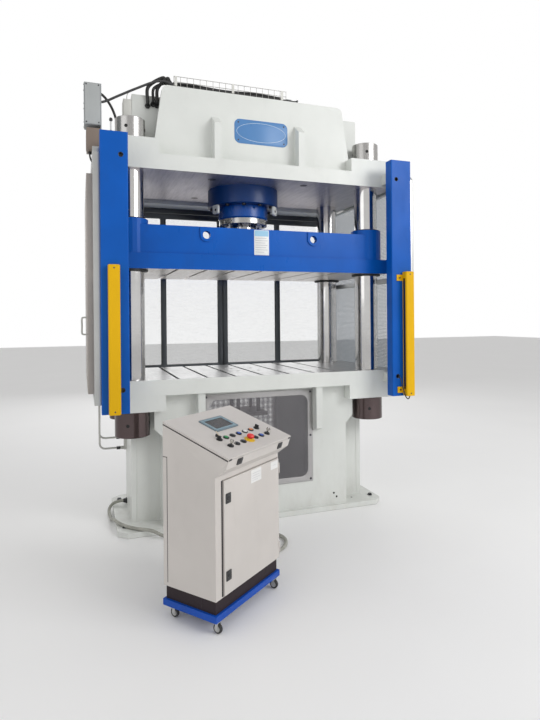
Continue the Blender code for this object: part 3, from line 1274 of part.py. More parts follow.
def cabinet_outline(inset):
    """Side outline of the desk, moved inwards by a wall."""
    return [
        (CABINET_DEPTH - inset, CABINET_BOTTOM + inset), (CABINET_DEPTH - inset, CABINET_BACK_TOP - inset),
        (CABINET_LIP_Y + inset, CABINET_LIP_TOP - inset),
        (CABINET_LIP_FOLD_Y + inset, CABINET_LIP_FOLD_Z + inset),
        (inset, CABINET_UNDERCUT_Z + inset), (inset, CABINET_BOTTOM + inset)]


def make_cabinet(console):
    """Sheet-metal desk: bent side profile, open at the top under the lid and at the front door."""
    paint = finish("cabinet_paint", PAINT_CABINET, 0.0, 0.5)
    cabinet = part("console_cabinet", prism([cabinet_outline(0.0)], "X", 0.0, CABINET_WIDTH), paint, console)
    hollow = prism([cabinet_outline(CABINET_WALL)], "X", CABINET_WALL, CABINET_WIDTH - CABINET_WALL)
    cut(cabinet, tool("cabinet_hollow", hollow, console))
    rim = CABINET_WALL * 4
    slant = [(CABINET_DEPTH - rim, CABINET_BACK_TOP - rim), (CABINET_DEPTH - rim, CABINET_BACK_TOP + rim),
             (CABINET_LIP_Y + rim, CABINET_LIP_TOP + rim), (CABINET_LIP_Y + rim, CABINET_LIP_TOP - rim)]
    cut(cabinet, tool("lid_opening", prism([slant], "X", rim, CABINET_WIDTH - rim), console))
    doorway = block(
        (CDOOR_LEFT - CDOOR_GAP, -OVERRUN, CDOOR_BOTTOM - CDOOR_GAP),
        (CDOOR_RIGHT + CDOOR_GAP, CABINET_WALL + OVERRUN, CDOOR_TOP + CDOOR_GAP))
    cut(cabinet, tool("doorway", doorway, console))
    for name, start in barrel_starts():
        end = start + LID_BARREL_LENGTH
        outside = LID_PIVOT_Y + LID_BARREL / 2
        upright = block((start, LID_PIVOT_Y - LID_BARREL / 2, LID_PIVOT_Z - BARREL_DROP),
                        (end, outside, LID_PIVOT_Z))
        foot = block((start, CABINET_DEPTH - CABINET_WALL / 2, LID_PIVOT_Z - BARREL_DROP),
                     (end, outside, LID_PIVOT_Z - BARREL_DROP + BARREL_FOOT))
        join(cabinet, lid_barrel(f"cabinet_barrel_{name}", start, console),
             tool(f"barrel_upright_{name}", upright, console), tool(f"barrel_foot_{name}", foot, console))
    for height, name in door_hinge_levels():
        top = height
        bottom = height - CDOOR_BARREL_LENGTH
        barrel = rod(CDOOR_BARREL, "Z", (CDOOR_PIVOT_X, CDOOR_PIVOT_Y), bottom, top)
        seat = block((CDOOR_PIVOT_X - CDOOR_TAB / 2, CDOOR_PIVOT_Y, bottom),
                     (CDOOR_PIVOT_X + CDOOR_TAB / 2, CABINET_WALL / 2, top))
        join(cabinet, tool(f"frame_barrel_{name}", barrel, console),
             tool(f"frame_seat_{name}", seat, console))
    for index, share in enumerate((-1, 1)):
        place, turn = lip_latch_place(share)
        hole = tool(f"lip_latch_hole_{index}", rod(
            LATCH_STEM + RUNNING, "Z", (0.0, 0.0), -OVERRUN - CABINET_WALL, OVERRUN), console)
        hole.location = place
        hole.rotation_euler = turn
        cut(cabinet, hole)
    return cabinet


def door_hinge_levels():
    return ((CDOOR_BOTTOM + CDOOR_BARREL_INSET, "lower"), (CDOOR_TOP - CDOOR_BARREL_INSET, "upper"))


def lip_latch_place(side):
    """Middle and turn of a latch on the desk's front lip."""
    share = LIP_LATCH_SHARE
    y = CABINET_LIP_Y + share * (CABINET_LIP_FOLD_Y - CABINET_LIP_Y)
    z = CABINET_LIP_TOP + share * (CABINET_LIP_FOLD_Z - CABINET_LIP_TOP)
    x = CABINET_WIDTH / 2 + side * (CABINET_WIDTH / 2 - LIP_LATCH_INSET)
    fall = math.atan2(CABINET_LIP_FOLD_Y - CABINET_LIP_Y, CABINET_LIP_TOP - CABINET_LIP_FOLD_Z)
    return (x, y, z), (math.pi / 2 + fall, 0.0, 0.0)


def make_latch(name, parent, depth, low, high):
    """A round cam latch on its own axis, +Z outwards: head, slot, stem and inner cam."""
    black = finish("latch_black", BLACK, 0.0, 0.4)
    back = -depth - LATCH_CAM_THICK
    profile = [
        (0.0, LATCH_PROUD), (LATCH_RADIUS, LATCH_PROUD), (LATCH_RADIUS, GAP), (LATCH_STEM, GAP),
        (LATCH_STEM, back), (0.0, back)]
    latch = turned(name, profile, SIDES_SMALL, black, (0.0, 0.0, 0.0), parent)
    bar = block((*low, back), (*high, -depth))
    join(latch, tool(f"{name}_cam", bar, parent))
    slot = block((-LATCH_RADIUS / 2, -LATCH_SLOT / 2, LATCH_PROUD - LATCH_SLOT / 2),
                 (LATCH_RADIUS / 2, LATCH_SLOT / 2, LATCH_PROUD + OVERRUN))
    cut(latch, tool(f"{name}_slot", slot, parent))


def make_console_door(console):
    """Door leaf on its right-hand hinge, with two cam latches on the left."""
    paint = finish("cabinet_paint", PAINT_CABINET, 0.0, 0.5)
    pivot = (CDOOR_PIVOT_X, CDOOR_PIVOT_Y, 0.0)
    hinge = axis_empty("console_door_hinge", pivot, None, console)
    front = -CDOOR_PROUD - CDOOR_PIVOT_Y
    right = CDOOR_RIGHT - CDOOR_PIVOT_X
    low = (CDOOR_LEFT - CDOOR_PIVOT_X, front, CDOOR_BOTTOM)
    high = (right, front + CDOOR_THICK, CDOOR_TOP)
    door = part("console_door", rounded_slab(low, high, CDOOR_CORNER, "Y"), paint, hinge)
    pan = CABINET_WALL
    inside = block((low[0] + pan, front + pan, low[2] + pan), (right - pan, high[1] + OVERRUN, high[2] - pan))
    cut(door, tool("door_pan", inside, hinge))
    for height, name in door_hinge_levels():
        bottom = height + GAP
        top = bottom + CDOOR_BARREL_LENGTH
        barrel = rod(CDOOR_BARREL, "Z", (0.0, 0.0), bottom, top)
        tab = block((right - CDOOR_BARREL, front - CDOOR_TAB, bottom), (0.0, front + CDOOR_TAB / 2, top))
        slim = block((right + GAP, front, bottom - OVERRUN), (CDOOR_BARREL, front + CDOOR_TAB, top + OVERRUN))
        door_tab = tool(f"door_tab_{name}", tab, hinge)
        cut(door_tab, tool(f"tab_relief_{name}", slim, hinge))
        join(door, door_tab, tool(f"door_barrel_{name}", barrel, hinge))
    for height, name in ((CDOOR_TOP - LATCH_INSET, "upper"), (CDOOR_BOTTOM + LATCH_INSET, "lower")):
        place = (LATCH_X - CDOOR_PIVOT_X, front, height)
        axis = axis_empty(f"door_latch_axis_{name}", place, (math.pi / 2, 0.0, 0.0), hinge)
        hole = rod(LATCH_STEM + RUNNING, "Z", (0.0, 0.0), -OVERRUN, OVERRUN)
        cut(door, tool(f"door_latch_hole_{name}", hole, axis))
        make_latch(f"door_latch_{name}", axis, CDOOR_THICK + LATCH_CAM_GAP,
                   (-LATCH_STEM, -DOOR_CAM), (LATCH_STEM, LATCH_STEM))


def make_lip_latches(console):
    for side, name in ((-1, "left"), (1, "right")):
        place, turn = lip_latch_place(side)
        axis = axis_empty(f"lid_latch_axis_{name}", place, turn, console)
        make_latch(f"lid_latch_{name}", axis, CABINET_WALL + LATCH_CAM_GAP,
                   (-LATCH_STEM, -LATCH_STEM), (LATCH_STEM, LID_CAM))


def make_lid(console):
    """Sloping panel, hinged at its rear edge, pierced for the screen and the controls."""
    paint = finish("lid_paint", PAINT_CABINET, 0.0, 0.5)
    hinge, length = lid_frame(console)
    half = CABINET_WIDTH / 2 + LID_OVERHANG
    low = (-half, -length - LID_OVERHANG, 0.0)
    high = (half, LID_OVERHANG, PANEL_THICK)
    lid = part("console_lid", rounded_slab(low, high, LID_CORNER, "Z"), paint, hinge)
    for name, begin in barrel_starts():
        start = begin + LID_BARREL_LENGTH + GAP
        left = start - CABINET_WIDTH / 2
        tab = block((left, -LID_CORNER, 0.0),
                    (left + LID_BARREL_LENGTH, LID_PIVOT_Y - CABINET_DEPTH, LID_TAB))
        join(lid, tool(f"lid_tab_{name}", tab, hinge), lid_barrel(f"lid_barrel_{name}", start, console))
    body_low, body_high = screen_body(length)
    opening = block((body_low[0] - GAP, body_low[1] - GAP, -OVERRUN),
                    (body_high[0] + GAP, body_high[1] + GAP, PANEL_THICK + OVERRUN))
    cut(lid, tool("screen_opening", opening, hinge))
    for row, distance in ((1, ROW_ONE), (2, ROW_TWO)):
        for column in range(CONTROL_COUNT):
            x = control_x(column)
            y = distance - length
            if (row, column) != STOP_PLACE:
                join(lid, bezel(f"bezel_{row}_{column}", x, y, hinge))
            hole = rod(BUTTON_HOLE, "Z", (x, y), -OVERRUN, PANEL_THICK + BEZEL_HEIGHT + OVERRUN)
            cut(lid, tool(f"control_hole_{row}_{column}", hole, hinge))
    return hinge, length


STOP_PLACE = (2, 3)


def control_x(column):
    return (column - (CONTROL_COUNT - 1) / 2) * CONTROL_PITCH


def bezel(name, x, y, hinge):
    """The raised ring round a control."""
    profile = [
        (BEZEL_BORE, PANEL_THICK + BEZEL_HEIGHT), (BEZEL_RADIUS, PANEL_THICK + BEZEL_HEIGHT),
        (BEZEL_RADIUS, PANEL_THICK - BITE), (BEZEL_BORE, PANEL_THICK - BITE)]
    return turned(name, profile, SIDES_SMALL, None, (x, y, 0.0), hinge, closed=True)


def screen_body(length):
    """Corners of the screen's body below the panel, in the lid's frame."""
    left = SCREEN_LEFT - CABINET_WIDTH / 2 + SCREEN_BODY_INSET
    front = SCREEN_FRONT - length + SCREEN_BODY_INSET
    width = SCREEN_WIDTH - SCREEN_BODY_INSET * 2
    height = SCREEN_HEIGHT - SCREEN_BODY_INSET * 2
    return (left, front, -SCREEN_BODY_DEPTH), (left + width, front + height, PANEL_THICK + BITE)


def make_screen(hinge, length):
    """Operator panel: a bezel on the lid with its body below."""
    grey = finish("screen_bezel", (0.20, 0.26, 0.30), 0.0, 0.4)
    left = SCREEN_LEFT - CABINET_WIDTH / 2
    front = SCREEN_FRONT - length
    low = (left, front, PANEL_THICK + GAP)
    high = (left + SCREEN_WIDTH, front + SCREEN_HEIGHT, PANEL_THICK + SCREEN_PROUD)
    screen = part("operator_screen", rounded_slab(low, high, SCREEN_CORNER, "Z"), grey, hinge)
    join(screen, tool("screen_body", block(*screen_body(length)), hinge))
    glass = block((low[0] + SCREEN_RIM, low[1] + SCREEN_RIM, high[2] - SCREEN_RECESS),
                  (high[0] - SCREEN_RIM, high[1] - SCREEN_RIM, high[2] + OVERRUN))
    cut(screen, tool("screen_glass", glass, hinge))


def control_axis(name, row, column, hinge, length):
    distance = ROW_ONE if row == 1 else ROW_TWO
    return axis_empty(f"{name}_axis", (control_x(column), distance - length, PANEL_THICK), None, hinge)


def push_button(name, colour, row, column, hinge, length):
    """A flush button: round head in its bezel and a stem through the panel."""
    axis = control_axis(name, row, column, hinge, length)
    material = finish(f"{name}_cap", colour, 0.0, 0.35)
    bottom = -PANEL_THICK - BUTTON_BELOW
    profile = [
        (0.0, BUTTON_TOP), (BUTTON_HEAD, BUTTON_TOP), (BUTTON_HEAD, BUTTON_LIFT), (BUTTON_STEM, BUTTON_LIFT),
        (BUTTON_STEM, bottom), (0.0, bottom)]
    turned(name, profile, SIDES_SMALL, material, (0.0, 0.0, 0.0), axis)


def selector(name, row, column, hinge, length, kind):
    """A turning switch: round base with a grip bar, a long lever or a key."""
    axis = control_axis(name, row, column, hinge, length)
    material = finish("selector_black", BLACK, 0.0, 0.35)
    bottom = -PANEL_THICK - BUTTON_BELOW
    top = KNOB_HEIGHT
    profile = [
        (0.0, top), (BUTTON_HEAD, top), (BUTTON_HEAD, BUTTON_LIFT), (BUTTON_STEM, BUTTON_LIFT),
        (BUTTON_STEM, bottom), (0.0, bottom)]
    switch = turned(name, profile, SIDES_SMALL, material, (0.0, 0.0, 0.0), axis)
    if kind == "lever":
        grip = block((-LEVER_HALF, -BUTTON_HEAD / 2, top - BITE / 2), (LEVER_HALF, LEVER_LENGTH, LEVER_HEIGHT))
        join(switch, tool(f"{name}_grip", grip, axis))
    elif kind == "knob":
        grip = block((-LEVER_HALF, -BUTTON_HEAD, top - BITE / 2), (LEVER_HALF, BUTTON_HEAD, LEVER_HEIGHT))
        join(switch, tool(f"{name}_grip", grip, axis))
    else:
        blade = block((-KEY_HALF, -KEY_WIDTH / 4, top - BITE / 2),
                      (KEY_HALF, KEY_WIDTH / 4, KEY_HEIGHT - KEY_BOW))
        bow = rod(KEY_BOW, "X", (0.0, KEY_HEIGHT - KEY_BOW / 2), -KEY_HALF, KEY_HALF)
        eye = rod(KEY_BOW_BORE, "X", (0.0, KEY_HEIGHT), -OVERRUN, OVERRUN, 8)
        join(switch, tool(f"{name}_blade", blade, axis), tool(f"{name}_bow", bow, axis))
        cut(switch, tool(f"{name}_eye", eye, axis))


def emergency_stop(hinge, length):
    """A mushroom head on a stem, its collar proud of the panel."""
    axis = control_axis("emergency_stop", *STOP_PLACE, hinge, length)
    bottom = -PANEL_THICK - BUTTON_BELOW
    shoulder = STOP_HEAD - CYLINDER_CHAMFER / 3
    profile = [
        (0.0, STOP_TOP), (shoulder, STOP_TOP), (STOP_HEAD, STOP_TOP - CYLINDER_CHAMFER / 3),
        (STOP_HEAD, STOP_LIFT), (BUTTON_STEM, STOP_LIFT), (BUTTON_STEM, bottom), (0.0, bottom)]
    turned("emergency_stop", profile, SIDES_MEDIUM, finish("stop_red", (0.6, 0.02, 0.02), 0.0, 0.3),
           (0.0, 0.0, 0.0), axis)


CONTROLS = [
    ("button_green", (0.02, 0.35, 0.10), 1, 1), ("button_black_a", BLACK, 1, 2),
    ("button_blue_a", (0.02, 0.10, 0.50), 1, 3), ("button_white", (0.8, 0.8, 0.78), 1, 4),
    ("button_orange", (0.75, 0.25, 0.05), 1, 5), ("button_black_b", BLACK, 2, 1),
    ("button_black_c", BLACK, 2, 2), ("button_black_d", BLACK, 2, 4),
    ("button_blue_b", (0.02, 0.10, 0.50), 2, 5)]
SELECTORS = [
    ("selector_lever", 1, 0, "lever"), ("selector_knob", 1, 6, "knob"),
    ("selector_key_left", 2, 0, "key"), ("selector_key_right", 2, 6, "key")]


def make_controls(hinge, length):
    for name, colour, row, column in CONTROLS:
        push_button(name, colour, row, column, hinge, length)
    for name, row, column, kind in SELECTORS:
        selector(name, row, column, hinge, length, kind)
    emergency_stop(hinge, length)


def make_plinth(console):
    """Dark plinth ring under the cabinet, on the blue trolley ring."""
    low = (PLINTH_INSET, PLINTH_INSET, PLINTH_BOTTOM + GAP)
    high = (CABINET_WIDTH - PLINTH_INSET, CABINET_DEPTH - PLINTH_INSET, CABINET_BOTTOM - GAP)
    dark = finish("plinth_dark", (0.05, 0.045, 0.04), 0.0, 0.5)
    plinth = part("console_plinth", block(low, high), dark, console)
    inside = block((low[0] + PLINTH_WALL, low[1] + PLINTH_WALL, low[2] - OVERRUN),
                   (high[0] - PLINTH_WALL, high[1] - PLINTH_WALL, high[2] + OVERRUN))
    cut(plinth, tool("plinth_inside", inside, console))
    outer_low = (-TROLLEY_OUT, -TROLLEY_OUT, TROLLEY_BOTTOM)
    outer_high = (CABINET_WIDTH + TROLLEY_OUT, CABINET_DEPTH + TROLLEY_OUT, PLINTH_BOTTOM)
    trolley = part("console_trolley", block(outer_low, outer_high),
                   finish("trolley_paint", PAINT_TROLLEY, 0.0, 0.35), console)
    frame = TROLLEY_RAIL + TROLLEY_OUT
    window = block((outer_low[0] + frame, outer_low[1] + frame, outer_low[2] - OVERRUN),
                   (outer_high[0] - frame, outer_high[1] - frame, outer_high[2] + OVERRUN))
    cut(trolley, tool("trolley_inside", window, console))


def make_casters(console):
    """Four swivel casters: fork on its vertical axis, wheel on its axle behind it."""
    zinc = finish("caster_zinc", STEEL, 0.9, 0.35)
    tyre = finish("caster_rubber", (0.05, 0.05, 0.05), 0.0, 0.7)
    places = [("front_left", SWIVEL_INSET, SWIVEL_INSET),
              ("front_right", CABINET_WIDTH - SWIVEL_INSET, SWIVEL_INSET),
              ("rear_left", SWIVEL_INSET, CABINET_DEPTH - SWIVEL_INSET),
              ("rear_right", CABINET_WIDTH - SWIVEL_INSET, CABINET_DEPTH - SWIVEL_INSET)]
    for name, x, y in places:
        swivel = axis_empty(f"swivel_{name}", (x, y, 0.0), None, console)
        plate_top = TROLLEY_BOTTOM - GAP
        head_bottom = plate_top - SWIVEL_HEIGHT
        fork = part(f"caster_fork_{name}", rod(
            SWIVEL_RADIUS, "Z", (0.0, 0.0), head_bottom, plate_top, SIDES_SMALL), zinc, swivel)
        yoke = block((-FORK_PLATE_HALF, -CASTER_TRAIL - FORK_CHEEK_HALF, head_bottom - FORK_PLATE),
                     (FORK_PLATE_HALF, SWIVEL_RADIUS, head_bottom + GAP))
        join(fork, tool(f"yoke_{name}", yoke, swivel))
        inner = WHEEL_HALF + FORK_RUNNING
        for side, place in ((-1, "left"), (1, "right")):
            first, last = sorted((side * inner, side * (inner + FORK_CHEEK)))
            cheek = block((first, -CASTER_TRAIL - FORK_CHEEK_HALF, WHEEL_RADIUS - FORK_CHEEK_HALF),
                          (last, -CASTER_TRAIL + FORK_CHEEK_HALF, head_bottom - GAP))
            join(fork, tool(f"cheek_{name}_{place}", cheek, swivel))
        pin = rod(AXLE_RADIUS, "X", (-CASTER_TRAIL, WHEEL_RADIUS), -inner - FORK_CHEEK, inner + FORK_CHEEK, 8)
        join(fork, tool(f"axle_pin_{name}", pin, swivel))
        axle = axis_empty(f"axle_{name}", (0.0, -CASTER_TRAIL, WHEEL_RADIUS), (0.0, math.pi / 2, 0.0), swivel)
        bore = AXLE_RADIUS + RUNNING
        rim = WHEEL_RADIUS - WHEEL_GROOVE
        profile = [(bore, WHEEL_HALF), (rim, WHEEL_HALF), (WHEEL_RADIUS, WHEEL_HALF - WHEEL_GROOVE),
                   (WHEEL_RADIUS, -WHEEL_HALF + WHEEL_GROOVE), (rim, -WHEEL_HALF), (bore, -WHEEL_HALF)]
        turned(f"caster_wheel_{name}", profile, SIDES_MEDIUM, tyre, (0.0, 0.0, 0.0), axle, closed=True)


def smooth_route(points, steps):
    """A smooth curve through the route, as closely spaced points."""
    route = [Vector(p) for p in points]
    padded = [route[0] * 2 - route[1]] + route + [route[-1] * 2 - route[-2]]
    result = []
    for i in range(1, len(padded) - 2):
        before, start, end, after = padded[i - 1:i + 3]
        for step in range(steps):
            t = step / steps
            slope = (end - before) * t
            swing = (before * 2 - start * 5 + end * 4 - after) * t ** 2
            twist = (start * 3 - before - end * 3 + after) * t ** 3
            result.append((start * 2 + slope + swing + twist) / 2)
    result.append(route[-1])
    return result


def evenly(points, pitch):
    """Points at an even distance along a line of closely spaced points."""
    lengths = [0.0]
    for start, end in zip(points, points[1:]):
        lengths.append(lengths[-1] + (end - start).length)
    count = round(lengths[-1] / pitch)
    places = []
    index = 0
    for number in range(count + 1):
        wanted = lengths[-1] * number / count
        while index < len(points) - 2 and lengths[index + 1] < wanted:
            index += 1
        share = (wanted - lengths[index]) / (lengths[index + 1] - lengths[index])
        places.append(points[index].lerp(points[index + 1], min(share, 1.0)))
    return places


def conduit_points():
    """Even points of the route: leg wall, floor plate, floor, and up into the console's back."""
    turn = Matrix.Rotation(CONSOLE_TURN, 3, "Z")
    entry = Vector((CABINET_WIDTH / 2, CABINET_DEPTH + GAP, CABINET_BOTTOM + GLAND_RISE))
    corner = Vector((CONSOLE_X, CONSOLE_Y, 0.0))
    end = corner + turn @ entry
    last = end + turn @ Vector((0.0, CONDUIT_STUB, 0.0))
    start = Vector((-LEG_HALF_LENGTH - GAP, CONDUIT_START_Y, CONDUIT_START_Z))
    first = start - Vector((CONDUIT_STUB, 0.0, 0.0))
    smooth_line = smooth_route([first] + CONDUIT_ROUTE + [last], CONDUIT_STEPS)
    return [start] + evenly(smooth_line, CONDUIT_PITCH) + [end]


def make_conduit():
    """Grey conduit from the press's left leg, over the floor plate, to the console's back."""
    grey = finish("conduit_grey", (0.35, 0.35, 0.33), 0.0, 0.6)
    curve = bpy.data.curves.new("control_conduit", "CURVE")
    curve.dimensions = "3D"
    curve.bevel_depth = CONDUIT_RADIUS
    curve.bevel_resolution = CONDUIT_SIDES
    curve.use_fill_caps = True
    places = conduit_points()
    spline = curve.splines.new("POLY")
    spline.points.add(len(places) - 1)
    for point, place in zip(spline.points, places):
        point.co = (*place, 1.0)
    conduit = bpy.data.objects.new("control_conduit", curve)
    PARTS.objects.link(conduit)
    conduit.data.materials.append(grey)


def main():
    make_base()
    make_grilles()
    make_table()
    make_columns()
    make_crown()
    make_slide()
    make_cylinder()
    make_ejector()
    make_posts()
    make_curtains()
    make_side_guards()
    make_rear_guard()
    make_tray()
    make_electrical_box()
    make_pipes()
    console = axis_empty("console", (CONSOLE_X, CONSOLE_Y, 0.0), (0.0, 0.0, CONSOLE_TURN))
    make_cabinet(console)
    make_console_door(console)
    make_lip_latches(console)
    hinge, length = make_lid(console)
    make_screen(hinge, length)
    make_controls(hinge, length)
    make_plinth(console)
    make_casters(console)
    make_conduit()


main()
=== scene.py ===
"""Looks of the four-column hydraulic press and its console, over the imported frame."""
import math
from fnmatch import filter as matching

import bmesh
import bpy
from bpy.props import FloatProperty, FloatVectorProperty, PointerProperty
from mathutils import Matrix, Vector


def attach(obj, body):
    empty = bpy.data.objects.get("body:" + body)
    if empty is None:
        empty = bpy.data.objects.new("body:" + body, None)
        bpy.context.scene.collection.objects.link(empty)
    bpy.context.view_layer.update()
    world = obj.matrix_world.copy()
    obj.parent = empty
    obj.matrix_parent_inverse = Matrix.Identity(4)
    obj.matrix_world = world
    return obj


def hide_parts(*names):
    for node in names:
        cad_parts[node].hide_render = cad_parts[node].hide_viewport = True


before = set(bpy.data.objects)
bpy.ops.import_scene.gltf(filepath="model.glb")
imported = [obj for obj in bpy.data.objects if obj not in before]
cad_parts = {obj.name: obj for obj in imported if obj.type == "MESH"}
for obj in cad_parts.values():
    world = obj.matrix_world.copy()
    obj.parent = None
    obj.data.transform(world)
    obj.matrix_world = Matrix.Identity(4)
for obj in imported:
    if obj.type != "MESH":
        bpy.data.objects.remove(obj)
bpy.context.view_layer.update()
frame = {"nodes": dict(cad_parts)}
NODES = frame["nodes"]

bl_info = {
    "name": "Hydraulic press looks",
    "version": (1, 0, 0),
    "blender": (4, 5, 0),
    "location": "3D View > Sidebar > Press",
    "description": "Detailed pieces, materials, floor, lights and camera of the hydraulic press",
    "category": "Object",
}


def at(x, y, z):
    return Matrix.Translation((x, y, z))


def turned(angle, axis):
    return Matrix.Rotation(angle, 4, axis)


PRESS, SLIDE, LID_PANEL, DOOR_LEAF = "press", "slide_unit", "console_lid_panel", "console_door_leaf"
UP, DOWN, AHEAD, BACK, LEFT, RIGHT = (0, 0, 1), (0, 0, -1), (0, -1, 0), (0, 1, 0), (-1, 0, 0), (1, 0, 0)
SIDES = ((-1, "left"), (1, "right"))
CORNERS = (("front_left", -1, -1), ("front_right", 1, -1), ("rear_left", -1, 1), ("rear_right", 1, 1))
COLUMNS = [(name, x * 0.985, y * 0.392) for name, x, y in CORNERS]
# Flat outlines are drawn in XY; these stand them up, facing the front or the side.
FRONT = Matrix(((1, 0, 0, 0), (0, 0, -1, 0), (0, 1, 0, 0), (0, 0, 0, 1)))
SIDE = Matrix(((0, 0, 1, 0), (1, 0, 0, 0), (0, 1, 0, 0), (0, 0, 0, 1)))
CONSOLE = at(-0.712, -1.849, 0.0) @ turned(math.radians(38), "Z")
CONSOLE_FRONT = CONSOLE @ FRONT
CONSOLE_REAR = CONSOLE @ Matrix(((-1, 0, 0, 0), (0, 0, 1, 0), (0, 1, 0, 0), (0, 0, 0, 1)))
LID_RISE, LID_RUN = 1.036 - 0.894, 0.355 + 0.086
LID_LENGTH = math.hypot(LID_RISE, LID_RUN)
LID = CONSOLE @ at(0.30, 0.355, 1.040) @ turned(math.atan2(LID_RISE, LID_RUN), "X")
CONTROL_PITCH = 0.058
CONTROL_ROWS = {
    0.165: ("selector_lever", "button_green", "button_black_a", "button_blue_a", "button_white",
            "button_orange", "selector_knob"),
    0.088: ("selector_key_left", "button_black_b", "button_black_c", "emergency_stop", "button_black_d",
            "button_blue_b", "selector_key_right")}
CONTROLS = {name: LID @ at((column - 3) * CONTROL_PITCH, distance - LID_LENGTH, 0.010)
            for distance, names in CONTROL_ROWS.items() for column, name in enumerate(names)}


# Mesh helpers

def show(name, mesh, material, smooth=None, body=PRESS, instead=None):
    """Makes a piece of a mesh: its material, the body that it rides on and the node that it replaces."""
    piece = bpy.data.objects.new(name, mesh)
    bpy.context.scene.collection.objects.link(piece)
    if not mesh.materials:
        mesh.materials.append(material)
    if smooth is not None:
        mesh.shade_smooth()
        mesh.set_sharp_from_angle(angle=math.radians(smooth))
    if body:
        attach(piece, body)
    if instead:
        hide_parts(instead)
    return piece


def to_mesh(shape, place=None):
    if place is not None:
        bmesh.ops.transform(shape, matrix=place, verts=shape.verts)
    bmesh.ops.recalc_face_normals(shape, faces=shape.faces)
    mesh = bpy.data.meshes.new("piece")
    shape.to_mesh(mesh)
    shape.free()
    return mesh


def merged(*meshes):
    """One mesh of several."""
    shape = bmesh.new()
    for mesh in meshes:
        shape.from_mesh(mesh)
    result = bpy.data.meshes.new("piece")
    shape.to_mesh(result)
    shape.free()
    return result


def boxes(*items, soft=0.0008, place=None):
    """Soft-edged boxes as one mesh, each its low and high corner, then its own edge radius and segments."""
    meshes = []
    for item in items:
        low, high = Vector(item[:3]), Vector(item[3:6])
        radius, segments = (*item[6:], *(soft, 2)[len(item) - 6:])
        shape = bmesh.new()
        bmesh.ops.create_cube(shape, size=1.0, matrix=Matrix.Translation((low + high) / 2)
                              @ Matrix.Diagonal((*(high - low), 1.0)))
        bmesh.ops.bevel(shape, geom=shape.edges[:], offset=radius, segments=segments, affect="EDGES",
                        profile=0.5)
        meshes.append(to_mesh(shape, place))
    return merged(*meshes)


def sided(side, near, far, *rest):
    """A box's numbers for one side of the press: x from near to far, then low y, z and high y, z."""
    low, high = sorted((side * near, side * far))
    return (low, *rest[:2], high, *rest[2:])


def rods(*items, sides=20):
    """Several (radius, start, end) cylinders as one mesh."""
    shape = bmesh.new()
    for radius, start, end in items:
        start, end = Vector(start), Vector(end)
        turn = (end - start).to_track_quat("Z", "Y").to_matrix().to_4x4()
        bmesh.ops.create_cone(shape, cap_ends=True, segments=sides, radius1=radius, radius2=radius,
                              depth=(end - start).length, matrix=Matrix.Translation((start + end) / 2) @ turn)
    return to_mesh(shape)


def lathe(points, steps=64, place=None):
    """Turns (radius, height) points about Z into a surface."""
    shape = bmesh.new()
    angles = [2 * math.pi * i / steps for i in range(steps)]
    rings = [[shape.verts.new((radius * math.cos(a), radius * math.sin(a), height))
              for a in (angles if radius else angles[:1])] for radius, height in points]
    for first, second in zip(rings, rings[1:]):
        for i in range(steps):
            corners = dict.fromkeys(ring[k % len(ring)] for ring, k in (
                (first, i), (first, i + 1), (second, i + 1), (second, i)))
            if len(corners) > 2:
                shape.faces.new(list(corners))
    return to_mesh(shape, place)


def outline(loops, low, high, place=None, soft=0.0):
    """A flat outline with holes in XY, extruded along Z, its rims a little rounded."""
    curve = bpy.data.curves.new("outline", "CURVE")
    curve.dimensions = "2D"
    curve.fill_mode = "BOTH"
    curve.extrude = (high - low) / 2 - soft
    curve.bevel_depth = soft
    curve.bevel_resolution = 1
    curve.offset = -soft
    for loop in loops:
        spline = curve.splines.new("POLY")
        spline.points.add(len(loop) - 1)
        for point, (x, y) in zip(spline.points, loop):
            point.co = (x, y, 0.0, 1.0)
        spline.use_cyclic_u = True
    guide = bpy.data.objects.new("outline", curve)
    bpy.context.scene.collection.objects.link(guide)
    mesh = bpy.data.meshes.new_from_object(guide.evaluated_get(bpy.context.evaluated_depsgraph_get()))
    bpy.data.objects.remove(guide, do_unlink=True)
    shape = bmesh.new()
    shape.from_mesh(mesh)
    bmesh.ops.remove_doubles(shape, verts=shape.verts, dist=1e-6)
    bmesh.ops.translate(shape, verts=shape.verts, vec=(0.0, 0.0, (low + high) / 2))
    return to_mesh(shape, place)


def rounded(left, right, bottom, top, radius, steps=6):
    corners = ((right - radius, top - radius, 0), (left + radius, top - radius, 1),
               (left + radius, bottom + radius, 2), (right - radius, bottom + radius, 3))
    return [(x + radius * math.cos((quarter + step / steps) * math.pi / 2),
             y + radius * math.sin((quarter + step / steps) * math.pi / 2))
            for x, y, quarter in corners for step in range(steps + 1)]


def mirrored(side, *sizes):
    return [(side * x, y) for x, y in rounded(*sizes)]


def around(x, y, radius, count=32, start=0.0, squash=1.0):
    """Points evenly spaced on a circle, or on an ellipse; the first is at an angle in degrees."""
    angles = [math.radians(start + 360 * k / count) for k in range(count)]
    return [(x + radius * math.cos(a), y + radius * squash * math.sin(a)) for a in angles]


